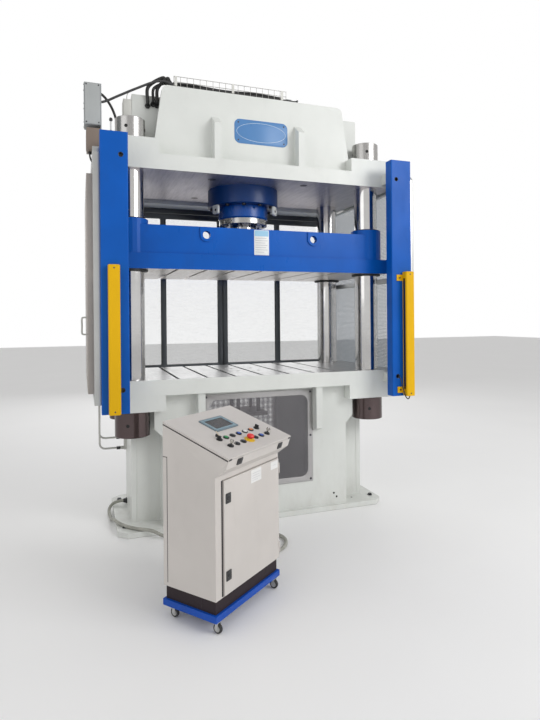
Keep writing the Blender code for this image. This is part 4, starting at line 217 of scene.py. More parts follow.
def tube(points, radius, sides=10, closed_ends=True):
    """A tube along points; a list of radii gives one for each point."""
    shape = bmesh.new()
    path = [Vector(p) for p in points]
    rings = []
    normal = None
    for i, place in enumerate(path):
        ahead = (path[min(i + 1, len(path) - 1)] - path[max(i - 1, 0)]).normalized()
        normal = normal or ahead.orthogonal().normalized()
        normal = (normal - ahead * normal.dot(ahead)).normalized()
        side = ahead.cross(normal)
        width = radius[i] if isinstance(radius, list) else radius
        rings.append([shape.verts.new(place + (normal * math.cos(2 * math.pi * k / sides)
                                               + side * math.sin(2 * math.pi * k / sides)) * width)
                      for k in range(sides)])
    for first, second in zip(rings, rings[1:]):
        for k in range(sides):
            shape.faces.new((first[k], first[(k + 1) % sides], second[(k + 1) % sides], second[k]))
    if closed_ends:
        shape.faces.new(rings[0][::-1])
        shape.faces.new(rings[-1])
    return to_mesh(shape)


def beads(*items):
    """Weld beads, each (radius, start, end), as one mesh."""
    return merged(*(tube((start, end), radius, 8) for radius, start, end in items))


def smooth_line(points, steps=8):
    """Catmull-Rom points through a few given ones."""
    route = [Vector(p) for p in points]
    padded = [route[0] * 2 - route[1]] + route + [route[-1] * 2 - route[-2]]
    result = []
    for i in range(1, len(padded) - 2):
        before, start, end, after = padded[i - 1:i + 3]
        for step in range(steps):
            t = step / steps
            square, cube = before * 2 - start * 5 + end * 4 - after, start * 3 - before - end * 3 + after
            result.append((start * 2 + (end - before) * t + square * t ** 2 + cube * t ** 3) / 2)
    return result + [route[-1]]


def evenly(points, pitch):
    """Points at an even distance along a line of closely spaced points."""
    lengths = [0.0]
    for start, end in zip(points, points[1:]):
        lengths.append(lengths[-1] + (end - start).length)
    count = max(round(lengths[-1] / pitch), 1)
    places = []
    index = 0
    for number in range(count + 1):
        wanted = lengths[-1] * number / count
        while index < len(points) - 2 and lengths[index + 1] < wanted:
            index += 1
        share = (wanted - lengths[index]) / (lengths[index + 1] - lengths[index])
        places.append(points[index].lerp(points[index + 1], min(share, 1.0)))
    return places


def hose(route, radius, sides=10, steps=8, pitch=None):
    """A smooth round hose or wire through a few points."""
    line = smooth_line(route, steps)
    return tube(evenly(line, pitch) if pitch else line, radius, sides)


def corrugated(line, pitch, wide, narrow):
    fine = evenly(line, pitch)
    return tube(fine, [wide if i % 2 else narrow for i in range(len(fine))], 12)


def facing(place, way, spin=0.0):
    """A pose at a place whose +Z looks along a direction."""
    turn = Vector(way).to_track_quat("Z", "Y").to_matrix().to_4x4()
    return Matrix.Translation(place) @ turn @ turned(spin, "Z")


def grid(xs, ys, zs, way):
    """Poses that look one way, at every combination of the given coordinates."""
    xs, ys, zs = (values if isinstance(values, tuple) else (values,) for values in (xs, ys, zs))
    return [facing((x, y, z), way) for x in xs for y in ys for z in zs]


def cap_screw():
    """A socket-head screw of unit radius, its seat at zero."""
    return lathe([(0, 0.55), (0.48, 0.55), (0.52, 1), (0.88, 1), (1, 0.88), (1, 0), (0, 0)], 12)


def pan_screw():
    """A low round head of unit radius with a washer."""
    return lathe([(0, 0.5), (0.3, 0.48), (0.62, 0.36), (0.72, 0.14), (0.98, 0.12), (1, 0), (0, 0)], 14)


def hex_nut():
    """A hexagon head of unit radius on a washer."""
    head = lathe([(0, 0.75), (0.62, 0.75), (0.80, 0.66), (0.80, 0.12), (0, 0.12)], 6)
    return merged(head, lathe([(0, 0.12), (1, 0.12), (1, 0), (0, 0)], 16))


def dark_hole(rise):
    """The dark disc of unit radius that stands for a drilled hole; its black is painted shade of the hole's
    inside.
    """
    return lathe([(0, rise), (0.8, rise), (1, 0), (0, 0)], 16)


def gland_mesh(pose, radius):
    """A cable gland: hexagon, collar and a tapered sleeve, its seat at the pose."""
    nut = [(1.1, 0.9), (1.75, 0.85), (1.85, 0.7), (1.85, 0)]
    sleeve = [(1.45, 0.6), (1.45, 1.6), (1.12, 2.4), (0.98, 2.4)]
    return merged(*(lathe([(radius * r, radius * z) for r, z in profile], steps, pose)
                    for profile, steps in ((nut, 6), (sleeve, 20))))


def pull_handle(place, length, reach, width=0.012):
    """A bow handle standing on a face; +Z of the place is away from the face."""
    half = length / 2
    bow = hose([(-half, 0, 0), (-half, 0, reach * 0.6), (-half * 0.86, 0, reach), (0, 0, reach),
                (half * 0.86, 0, reach), (half, 0, reach * 0.6), (half, 0, 0)], width / 2, 12, 6)
    mesh = merged(bow, rods(*((width * 0.8, (x, 0, 0), (x, 0, 0.003)) for x in (-half, half))))
    mesh.transform(place)
    return mesh


def latch_frame(width, height, hole, pose):
    """The square surround of a round latch, standing on a face."""
    loops = [rounded(-width / 2, width / 2, -height / 2, height / 2, 0.004, 4), around(0, 0, hole, 24)]
    return outline(loops, 0.0, 0.0036, pose, 0.0008)


WELD_DISTANCE = 0.00001
SOFTENED_ANGLE = math.radians(35)


def soften(node, width):
    """Rounds the edges of a carried-over node."""
    NODES[node].modifiers.new("weld", "WELD").merge_threshold = WELD_DISTANCE
    modifier = NODES[node].modifiers.new("soften", "BEVEL")
    modifier.width = width
    modifier.segments = 2
    modifier.limit_method = "ANGLE"
    modifier.angle_limit = SOFTENED_ANGLE
    modifier.harden_normals = True


# Node trees

def feed(node, entries):
    """Sets a node's inputs, each to a value or by a link from a (node, output) pair."""
    for key, value in entries.items():
        if isinstance(value, tuple) and isinstance(value[0], bpy.types.Node):
            node.id_data.links.new(value[0].outputs[value[1]], node.inputs[key])
        else:
            node.inputs[key].default_value = value


def add(tree, kind, entries=None, **settings):
    """A new node with its settings and inputs."""
    node = tree.nodes.new(kind)
    for key, value in settings.items():
        setattr(node, key, value)
    feed(node, entries or {})
    return node


def new_tree(name, **inputs):
    """A Geometry Nodes tree with named inputs, their identifiers and the node that gives them."""
    tree = bpy.data.node_groups.new(name, "GeometryNodeTree")
    tree.interface.new_socket(name="Geometry", in_out="OUTPUT", socket_type="NodeSocketGeometry")
    names = {}
    for title, value in inputs.items():
        kind = "Float" if isinstance(value, float) else value
        made = tree.interface.new_socket(name=title, in_out="INPUT", socket_type=f"NodeSocket{kind}")
        if kind == "Float":
            made.default_value = value
        names[title] = made.identifier
    return tree, names, add(tree, "NodeGroupInput")


def ending(tree, source, entry):
    """Realize Instances, Set Material and the tree's output."""
    real = add(tree, "GeometryNodeRealizeInstances", {0: (source, 0)})
    finish = add(tree, "GeometryNodeSetMaterial", {"Geometry": (real, 0), "Material": (entry, "Material")})
    add(tree, "NodeGroupOutput", {0: (finish, 0)})


def copies_tree():
    """Copies of a shape on points, turned by each point's own attribute."""
    tree, names, entry = new_tree("copies_on_points", Geometry="Geometry", Shape="Object", Size=1.0,
                                  Material="Material")
    shape = add(tree, "GeometryNodeObjectInfo", {"As Instance": True, "Object": (entry, "Shape")})
    turn = add(tree, "GeometryNodeInputNamedAttribute", {"Name": "turn"}, data_type="FLOAT_VECTOR")
    angle = add(tree, "FunctionNodeEulerToRotation", {0: (turn, "Attribute")})
    spread = add(tree, "GeometryNodeInstanceOnPoints", {
        "Points": (entry, "Geometry"), "Instance": (shape, "Geometry"), "Rotation": (angle, 0),
        "Scale": (entry, "Size")})
    ending(tree, spread, entry)
    return tree, names


def lattice_tree():
    """Crossed square wires over a rectangle in XY, from its lower left corner."""
    tree, names, entry = new_tree("wire_lattice", Width=1.0, Height=1.0, Pitch=0.01, Wire=0.0015,
                                  Material="Material")
    both = add(tree, "GeometryNodeJoinGeometry")
    for across, along, axis, other in (("Width", "Height", "X", "Y"), ("Height", "Width", "Y", "X")):
        count = add(tree, "ShaderNodeMath", {0: (entry, across), 1: (entry, "Pitch")}, operation="DIVIDE")
        step = add(tree, "ShaderNodeCombineXYZ", {axis: (entry, "Pitch")})
        half = add(tree, "ShaderNodeMath", {0: (entry, along), 1: 0.5}, operation="MULTIPLY")
        begin = add(tree, "ShaderNodeCombineXYZ", {other: (half, 0)})
        line = add(tree, "GeometryNodeMeshLine", {"Count": (count, 0), "Offset": (step, 0),
                                                  "Start Location": (begin, 0)})
        size = add(tree, "ShaderNodeCombineXYZ", {axis: (entry, "Wire"), other: (entry, along),
                                                  "Z": (entry, "Wire")})
        wire = add(tree, "GeometryNodeMeshCube", {"Size": (size, 0)})
        spread = add(tree, "GeometryNodeInstanceOnPoints", {"Points": (line, 0), "Instance": (wire, 0)})
        feed(both, {0: (spread, 0)})
    ending(tree, both, entry)
    return tree, names


TREES = {}


def grown(name, make_tree, values, host_mesh=None):
    """Runs a node tree on a host object and returns its result as a plain mesh."""
    if make_tree not in TREES:
        TREES[make_tree] = make_tree()
    tree, names = TREES[make_tree]
    host = bpy.data.objects.new(name, host_mesh or bpy.data.meshes.new(name))
    bpy.context.scene.collection.objects.link(host)
    modifier = host.modifiers.new("grown", "NODES")
    modifier.node_group = tree
    for key, value in values.items():
        modifier[names[key]] = value
    bpy.context.view_layer.update()
    mesh = bpy.data.meshes.new_from_object(host.evaluated_get(bpy.context.evaluated_depsgraph_get()))
    host.modifiers.remove(modifier)
    bpy.data.objects.remove(host, do_unlink=True)
    return mesh


def repeated(name, poses, shape_mesh, material, size=1.0, smooth=30, body=PRESS, instead=None):
    """Copies of one small shape at many poses, as one plain piece."""
    points = bpy.data.meshes.new(name)
    points.from_pydata([tuple(pose.translation) for pose in poses], [], [])
    turns = points.attributes.new("turn", "FLOAT_VECTOR", "POINT")
    turns.data.foreach_set("vector", [angle for pose in poses for angle in pose.to_euler()])
    model = bpy.data.objects.new(f"{name}_shape", shape_mesh)
    bpy.context.scene.collection.objects.link(model)
    mesh = grown(name, copies_tree, {"Shape": model, "Size": size, "Material": material}, points)
    bpy.data.objects.remove(model, do_unlink=True)
    show(name, mesh, material, smooth, body, instead)


def lattice(name, low, high, pitch, wire, material, place, instead):
    """A rectangle of welded wire mesh."""
    mesh = grown(name, lattice_tree, {"Width": high[0] - low[0], "Height": high[1] - low[1], "Pitch": pitch,
                                      "Wire": wire, "Material": material})
    mesh.transform(place @ at(*low, 0.0))
    show(name, mesh, material, instead=instead)


# Materials

BARE_STEEL, WORN_EDGE, DUST_HEIGHT = (0.35, 0.34, 0.33), 0.004, 0.45


def scaled(colour, share, more=0.0):
    return tuple(min(c * share + more, 1.0) for c in colour)


class Net:
    """One material's nodes; what flows between them is given as (node, output) pairs."""

    def __init__(self, name):
        self.material = bpy.data.materials.new(name)
        self.material.use_nodes = True
        self.tree = self.material.node_tree
        self.tree.nodes.clear()
        self.shader = add(self.tree, "ShaderNodeBsdfPrincipled")
        add(self.tree, "ShaderNodeOutputMaterial", {"Surface": (self.shader, 0)})
        self.place = (add(self.tree, "ShaderNodeTexCoord"), "Object")

    def node(self, kind, entries, output=0, **settings):
        return add(self.tree, kind, entries, **settings), output

    def maths(self, operation, first, second, kind="ShaderNodeMath"):
        return self.node(kind, {0: first, 1: second}, operation=operation)

    def noise(self, scale, detail=4.0, rough=0.55, stretch=(1.0, 1.0, 1.0)):
        spread = self.node("ShaderNodeMapping", {"Vector": self.place, "Scale": stretch})
        return self.node("ShaderNodeTexNoise", {"Vector": spread, "Scale": scale, "Detail": detail,
                                                "Roughness": rough}, "Fac")

    def ramp(self, source, low, high, first=0.0, last=1.0):
        return self.node("ShaderNodeMapRange", {"Value": source, "From Min": low, "From Max": high,
                                                "To Min": first, "To Max": last})

    def mix(self, share, first, second):
        """Mixes two colours, each a constant or from a node, by a node's share."""
        first, second = ((*colour, 1.0) if len(colour) == 3 else colour for colour in (first, second))
        return self.node("ShaderNodeMix", {0: share, 6: first, 7: second}, 2, data_type="RGBA")

    def split(self, source):
        return self.node("ShaderNodeSeparateXYZ", {0: source})[0]

    def patch(self, painted, low, high, colour, metal):
        """Another finish on what lies inside a box, such as machined steel on a painted plate."""
        low, high = Vector(low), Vector(high)
        centred = self.maths("SUBTRACT", self.place, (low + high) / 2, "ShaderNodeVectorMath")
        away = self.node("ShaderNodeVectorMath", {0: centred}, operation="ABSOLUTE")
        beyond = self.split(self.maths("SUBTRACT", away, (high - low) / 2, "ShaderNodeVectorMath"))
        furthest = self.maths("MAXIMUM", self.maths("MAXIMUM", (beyond, "X"), (beyond, "Y")), (beyond, "Z"))
        mask = self.ramp(furthest, 0.0, -0.0001)
        marks = self.ramp(self.noise(5.0, 5.0, 0.65, (14.0, 1.0, 1.0)), 0.35, 0.70)
        if metal:
            feed(self.shader, {"Metallic": mask})
        return self.mix(mask, painted, self.mix(marks, scaled(colour, 0.8), colour))

    def done(self, colour, gloss, relief=None, distance=0.0, strength=0.5, **levels):
        """Feeds the shader: colour, roughness as ramp arguments, relief and other levels by name."""
        feed(self.shader, {"Base Color": colour, "Roughness": self.ramp(*gloss),
                           **{key.replace("_", " "): value for key, value in levels.items()}})
        if relief:
            feed(self.shader, {"Normal": self.node("ShaderNodeBump", {"Height": relief, "Distance": distance,
                                                                      "Strength": strength})})
        return self.material


MADE = {}


def once(make):
    """Keeps each material under its name, so it is made once."""
    def found(name, *details, **more):
        if name not in MADE:
            MADE[name] = make(Net(name), *details, **more)
        return MADE[name]
    return found


@once
def paint(net, colour, rough=0.35, shade=0.05, dirt=(0.25, 0.22, 0.19), grime=0.25, peel=0.00012, wear=0.0,
          floor=0.0, gloss=0.5, coat=0.15, patch=None):
    """Sprayed paint: slow shade changes, orange peel, soiled patches, worn edges, a dusty foot, and
    another finish inside a box where patch gives one."""
    tone = net.mix(net.ramp(net.noise(2.2, 3.0), 0.35, 0.65), scaled(colour, 1 - shade * 2),
                   scaled(colour, 1 + shade))
    smear = net.noise(9.0, 6.0, 0.65, (1.0, 1.0, 0.35))
    last = net.mix(net.ramp(smear, 0.55, 0.80, 0.0, grime), tone, dirt)
    if floor > 0:
        near = net.ramp((net.split(net.place), "Z"), DUST_HEIGHT, 0.0, 0.0, floor)
        last = net.mix(net.maths("MULTIPLY", near, net.ramp(smear, 0.35, 0.65)), last, dirt)
    if wear > 0:
        edge = net.node("ShaderNodeBevel", {"Radius": WORN_EDGE}, samples=4)
        flat = net.node("ShaderNodeNewGeometry", {}, "Normal")
        facing_edge = net.maths("DOT_PRODUCT", edge, flat, "ShaderNodeVectorMath")[0]
        corner = net.ramp((facing_edge, "Value"), 0.97, 0.85)
        chips = net.ramp(net.noise(38.0, 5.0, 0.7), 0.55, 0.62, 0.0, wear)
        last = net.mix(net.maths("MULTIPLY", corner, chips), last, BARE_STEEL)
    if patch is not None:
        last = net.patch(last, *patch)
    return net.done(last, (smear, 0.3, 0.8, rough - 0.05, rough + 0.15), net.noise(420.0, 2.0), peel, 0.6,
                    IOR=1.5, Specular_IOR_Level=gloss, Coat_Weight=coat, Coat_Roughness=0.2)


@once
def steel(net, colour, rough=0.2, grain=(1.0, 1.0, 60.0), mark=0.00008, stain=(0.20, 0.14, 0.09),
          stains=0.15):
    """Machined steel: fine tool marks, along one direction or even, faint stains, uneven polish."""
    tone = net.mix(net.ramp(net.noise(3.5, 4.0), 0.3, 0.7), scaled(colour, 0.85), colour)
    mixed = net.mix(net.ramp(net.noise(14.0, 8.0, 0.7), 0.58, 0.75, 0.0, stains), tone, stain)
    lines = net.noise(14.0, 3.0, 0.6, grain if isinstance(grain, tuple) else (grain,) * 3)
    return net.done(mixed, (lines, 0.3, 0.7, max(rough - 0.06, 0.03), rough + 0.10), lines, mark,
                    Metallic=1.0)


@once
def plastic(net, colour, rough=0.4, grain=0.00006, scale=700.0, shade=0.08, coat=0.0):
    """Moulded plastic or rubber with a fine grain."""
    slow = net.noise(18.0, 4.0)
    tone = net.mix(net.ramp(slow, 0.35, 0.7), scaled(colour, 1 - shade), scaled(colour, 1 + shade, 0.002))
    return net.done(tone, (slow, 0.3, 0.7, max(rough - 0.06, 0.05), rough + 0.08), net.noise(scale, 2.0),
                    grain, Coat_Weight=coat)


@once
def clear(net, colour, alpha, rough=0.05):
    """Clear sheet: mostly see-through, with faint scratches that catch light."""
    scratches = net.noise(22.0, 6.0, 0.7, (1.0, 1.0, 6.0))
    return net.done(net.mix(net.ramp(scratches, 0.5, 0.8), colour, (0.95, 0.97, 0.97)),
                    (scratches, 0.4, 0.8, rough, rough + 0.1), IOR=1.45,
                    Alpha=net.ramp(scratches, 0.45, 0.85, alpha, alpha + 0.08))


WHITE_FINISH = {"shade": 0.02, "grime": 0.06, "wear": 0.30, "gloss": 0.35}
BLUE_FINISH = {"shade": 0.05, "dirt": (0.02, 0.03, 0.06), "grime": 0.16, "wear": 0.20, "gloss": 0.18,
               "coat": 0.04}
PLATE_HALF_DEPTH = 0.518


def machined(half_width, low, high, colour):
    """Bare machined metal on the plates between two levels, as a patch of a paint."""
    return (-half_width, -PLATE_HALF_DEPTH, low), (half_width, PLATE_HALF_DEPTH, high), colour, True


# Stage

FLOOR_REACH, FLOOR_LEVEL, SIGHT_REACH = 30.0, -0.001, 200.0
SKY = ((0.30, (0.55, 0.53, 0.52)), (0.52, (1.0, 1.0, 1.0)), (0.70, (0.70, 0.69, 0.68)),
       (1.0, (0.85, 0.85, 0.85)))
LIGHTS = (("key_light", (4.2, -6.0, 4.6), (0.0, -0.6, 1.2), (3.5, 3.0), 1.0),
          ("fill_light", (-5.0, -3.5, 3.6), (0.0, 0.0, 1.6), (4.0, 3.5), 0.16),
          ("back_light", (1.0, 6.5, 4.0), (0.0, 0.0, 1.8), (6.0, 3.0), 0.55))
CAMERA_PLACE = (-1.339, -4.476, 1.6)
CAMERA_YAW, CAMERA_ROLL, CAMERA_SHIFT = 0.3395, math.radians(-0.5), -42 / 720


class PRESS_OT_stage(bpy.types.Operator):
    """Floor, soft studio lights, world and camera"""
    bl_idname = "press.stage"
    bl_label = "Stage"

    def execute(self, context):
        scene, look = context.scene, context.scene.press_look
        shape = bmesh.new()
        bmesh.ops.create_grid(shape, x_segments=1, y_segments=1, size=FLOOR_REACH)
        net = Net("studio_floor")
        slow = net.noise(0.8, 3.0)
        pale = tuple(look.floor_colour)
        tone = net.mix(net.ramp(slow, 0.3, 0.7), scaled(pale, 0.98), pale)
        floor = show("studio_floor", to_mesh(shape), net.done(tone, (slow, 0.3, 0.7, 0.5, 0.6)), body=None)
        floor.location.z = FLOOR_LEVEL
        scene.world = bpy.data.worlds.new("studio")
        scene.world.use_nodes = True
        self.sky(scene.world.node_tree, look.sky_strength)
        for name, place, target, size, share in LIGHTS:
            data = bpy.data.lights.new(name, "AREA")
            data.shape = "RECTANGLE"
            data.size, data.size_y = size
            data.energy = look.key_power * share
            lamp = bpy.data.objects.new(name, data)
            scene.collection.objects.link(lamp)
            lamp.location = place
            lamp.rotation_euler = (Vector(target) - Vector(place)).to_track_quat("-Z", "Y").to_euler()
        scene.view_settings.view_transform = "Standard"
        data = bpy.data.cameras.new("camera")
        data.lens = look.lens
        data.shift_y = CAMERA_SHIFT
        data.clip_end = SIGHT_REACH
        scene.camera = bpy.data.objects.new("camera", data)
        scene.collection.objects.link(scene.camera)
        forward = Vector((math.sin(CAMERA_YAW), math.cos(CAMERA_YAW), 0.0))
        right, up = Vector((forward.y, -forward.x, 0.0)), Vector((0.0, 0.0, 1.0))
        across = right * math.cos(CAMERA_ROLL) + up * math.sin(CAMERA_ROLL)
        upright = up * math.cos(CAMERA_ROLL) - right * math.sin(CAMERA_ROLL)
        turn = Matrix((across, upright, -forward)).transposed()
        scene.camera.matrix_world = at(*CAMERA_PLACE) @ turn.to_4x4()
        return {"FINISHED"}

    @staticmethod
    def sky(tree, strength):
        """White behind the press for the camera, grey bands by height for the light."""
        tree.nodes.clear()
        split = add(tree, "ShaderNodeSeparateXYZ", {0: (add(tree, "ShaderNodeTexCoord"), "Generated")})
        height = add(tree, "ShaderNodeMapRange", {"Value": (split, "Z"), "From Min": -1.0})
        band = add(tree, "ShaderNodeValToRGB", {"Fac": (height, 0)})
        stops = band.color_ramp.elements
        stops[0].position, stops[1].position = SKY[0][0], SKY[-1][0]
        for position, _ in SKY[1:-1]:
            stops.new(position)
        for stop, (_, colour) in zip(stops, SKY):
            stop.color = (*colour, 1.0)
        seen = add(tree, "ShaderNodeBackground", {"Color": (1.0, 1.0, 1.0, 1.0), "Strength": 1.0})
        lit = add(tree, "ShaderNodeBackground", {"Color": (band, "Color"), "Strength": strength})
        path = add(tree, "ShaderNodeLightPath")
        mix = add(tree, "ShaderNodeMixShader", {"Fac": (path, "Is Camera Ray"), 1: (lit, 0), 2: (seen, 0)})
        add(tree, "ShaderNodeOutputWorld", {"Surface": (mix, 0)})


class PRESS_OT_dress(bpy.types.Operator):
    """Materials of every carried-over node"""
    bl_idname = "press.dress"
    bl_label = "Node materials"

    def execute(self, context):
        look = context.scene.press_look
        white, blue = tuple(look.frame_colour), tuple(look.blue_colour)
        paint("frame_white", white, 0.40, **WHITE_FINISH)
        paint("press_blue", blue, 0.36, **BLUE_FINISH)
        paint("barrel_blue", scaled(blue, 0.8), 0.26, 0.05, (0.02, 0.03, 0.06), 0.15, gloss=0.4)
        # Painted shade: the press blue darkened to 0.30 is a shaded copy for the cylinder flange, which lies
        # in the crown's shadow, and the ejector cylinder takes it too; the barrel's copy above keeps 0.8 of
        # the blue.
        cylinder = paint("cylinder_blue", scaled(blue, 0.30), 0.34, 0.06, (0.01, 0.01, 0.02), 0.25, gloss=0.3)
        profile = steel("dark_profile", (0.085, 0.092, 0.10), 0.34, (40.0, 40.0, 1.0), 0.00004,
                        (0.1, 0.1, 0.1), 0.1)
        grey = paint("cabinet_grey", (0.63, 0.595, 0.565), 0.48, 0.025, grime=0.07, peel=0.0003, wear=0.12,
                     gloss=0.3)
        black = plastic("control_black", (0.018, 0.018, 0.02), 0.35, coat=0.2)
        grille = steel("grille_steel", (0.42, 0.41, 0.42), 0.38, 8.0, stains=0.3)
        for pattern, material, *edge in (
                # The crown's underside is bare machined steel, and its pale pinkish tone (0.80, 0.76, 0.78)
                # is a painted reflection of light bounced up from the floor.
                ("crown", paint("crown_white", white, 0.40, **WHITE_FINISH,
                                patch=machined(1.188, 2.690, 2.699, (0.80, 0.76, 0.78))), 0.0025),
                ("bolster_table", paint("table_white", white, 0.34, **WHITE_FINISH,
                                        patch=machined(1.188, 1.113, 1.160, (0.55, 0.55, 0.55))), 0.0025),
                ("base_frame", paint("base_white", scaled(white, 0.95), 0.42, 0.025, (0.42, 0.40, 0.36), 0.12,
                                     wear=0.40, floor=0.22, gloss=0.35), 0.003),
                ("slide", paint("slide_blue", blue, 0.30, **BLUE_FINISH,
                                patch=machined(1.128, 1.950, 2.0085, (0.96, 0.92, 0.89))), 0.0025),
                ("guard_post_*", paint("post_blue", blue, 0.36, **BLUE_FINISH,
                                       patch=((-1.30, -0.6475, 0.90), (1.30, -0.50, 2.90), white, False))),
                ("light_curtain_*", paint("curtain_yellow", (0.80, 0.46, 0.002), 0.40, 0.03,
                                          (0.40, 0.24, 0.04), 0.12, 0.0001, gloss=0.2, coat=0.03)),
                ("side_guard_*", steel("guard_aluminium", (0.62, 0.63, 0.62), 0.35, (1.0, 1.0, 0.05),
                                       0.00004)),
                ("rear_door_*", profile), ("rear_guard_frame", profile),
                ("main_cylinder", cylinder), ("ejector_cylinder", cylinder),
                ("column_*", steel("column_steel", (0.74, 0.73, 0.72), 0.09, (1.0, 1.0, 30.0), 0.00003,
                                   stains=0.06)),
                ("caster_fork_*", steel("zinc", (0.60, 0.60, 0.58), 0.35, 20.0)),
                ("caster_wheel_*", plastic("caster_black", (0.03, 0.03, 0.03), 0.6)),
                ("cylinder_gland", steel("gland_steel", (0.55, 0.54, 0.52), 0.22)),
                ("piston_rod", steel("rod_chrome", (0.42, 0.42, 0.43), 0.10, (1.0, 1.0, 40.0), 0.00003,
                                     stains=0.05)),
                ("ejector_plate", steel("ejector_steel", (0.20, 0.18, 0.17), 0.4, 6.0, stains=0.4)),
                ("base_grille_*", grille), ("cable_tray", grille),
                ("electrical_box", paint("box_grey", (0.36, 0.38, 0.39), 0.5, 0.05, grime=0.3)),
                ("pipe_pair", steel("pipe_zinc", (0.60, 0.60, 0.57), 0.38, 10.0)),
                ("console_cabinet", grey, 0.0015), ("console_door", grey, 0.0012), ("console_lid", grey),
                ("console_plinth", paint("plinth_dark", (0.030, 0.020, 0.024), 0.55, 0.06,
                                         (0.05, 0.045, 0.045), 0.2, gloss=0.25, coat=0.0)),
                ("console_trolley", paint("trolley_blue", (0.003, 0.075, 0.45), 0.36, 0.05,
                                          (0.03, 0.03, 0.05), 0.2, wear=0.2, gloss=0.2), 0.0015),
                ("*_latch_*", black), ("selector_*", black), ("button_black_*", black),
                ("button_green", plastic("button_green", (0.02, 0.30, 0.09), 0.3, coat=0.3)),
                ("button_blue_*", plastic("button_blue", (0.02, 0.09, 0.42), 0.3, coat=0.3)),
                ("button_white", plastic("button_white", (0.80, 0.80, 0.78), 0.3, coat=0.3)),
                ("button_orange", plastic("button_orange", (0.70, 0.24, 0.08), 0.3, coat=0.3)),
                ("emergency_stop", plastic("stop_red", (0.72, 0.02, 0.015), 0.28, coat=0.4)),
                ("operator_screen", plastic("screen_bezel", (0.16, 0.22, 0.26), 0.4))):
            for node in matching(NODES, pattern):
                NODES[node].data.materials.clear()
                NODES[node].data.materials.append(material)
                if edge:
                    soften(node, *edge)
        return {"FINISHED"}


CONDUIT_START = Vector((-0.9853, 0.200, 0.070))
CONDUIT_END = CONSOLE @ Vector((0.30, 0.3553, 0.275))
CONDUIT_ROUTE = (
    (-1.048, 0.200, 0.070), (-1.088, 0.192, 0.063), (-1.114, 0.170, 0.053), (-1.132, 0.140, 0.032),
    (-1.135, 0.090, 0.0138), (-1.130, 0.020, 0.0134), (-1.127, -0.050, 0.018), (-1.124, -0.115, 0.038),
    (-1.114, -0.165, 0.053), (-1.103, -0.210, 0.0558), (-1.078, -0.270, 0.0545), (-1.031, -0.348, 0.0535),
    (-0.963, -0.423, 0.0535), (-0.900, -0.468, 0.0545), (-0.850, -0.500, 0.047), (-0.800, -0.535, 0.026),
    (-0.740, -0.575, 0.0136), (-0.600, -0.650, 0.0134), (-0.450, -0.700, 0.0134), (-0.280, -0.735, 0.0134),
    (-0.120, -0.745, 0.0134), (-0.030, -0.765, 0.0134), (0.020, -0.820, 0.0134), (0.025, -0.910, 0.0134),
    (-0.020, -1.000, 0.0134), (-0.100, -1.060, 0.0134), (-0.240, -1.100, 0.0134), (-0.420, -1.125, 0.0134),
    (-0.540, -1.150, 0.0134), (-0.620, -1.190, 0.0136), (-0.685, -1.240, 0.024), (-0.726, -1.285, 0.060),
    (-0.745, -1.308, 0.115), (-0.748, -1.316, 0.180), (-0.742, -1.325, 0.235), (-0.7284, -1.341, 0.266))


CONDUIT_RADIUS, CONDUIT_GROOVE, CONDUIT_PITCH = 0.0125, 0.0117, 0.0045
CONDUIT_GLAND, CONDUIT_STUB = 0.0128, 0.03


class PRESS_OT_conduit(bpy.types.Operator):
    """Corrugated conduit from the press's leg to the console's back, with its glands"""
    bl_idname = "press.conduit"
    bl_label = "Conduit"

    def execute(self, context):
        out = (CONSOLE.to_3x3() @ Vector(BACK)).normalized()
        line = smooth_line([CONDUIT_START + Vector(LEFT) * CONDUIT_STUB, *CONDUIT_ROUTE,
                            CONDUIT_END + out * CONDUIT_STUB], 12)
        path = [CONDUIT_START, *evenly(line, 0.02), CONDUIT_END]
        conduit = show("conduit_tube", corrugated(path, CONDUIT_PITCH, CONDUIT_RADIUS, CONDUIT_GROOVE),
                       plastic("conduit_grey", (0.36, 0.36, 0.32), 0.5, scale=300.0, shade=0.2), 40)
        ends = [gland_mesh(facing(*end), CONDUIT_GLAND)
                for end in ((CONDUIT_START, LEFT), (CONDUIT_END, out))]
        glands = show("conduit_glands", merged(*ends), plastic("gland_black", (0.02, 0.02, 0.022), 0.45), 35)
        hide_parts("control_conduit")
        return {"FINISHED"}


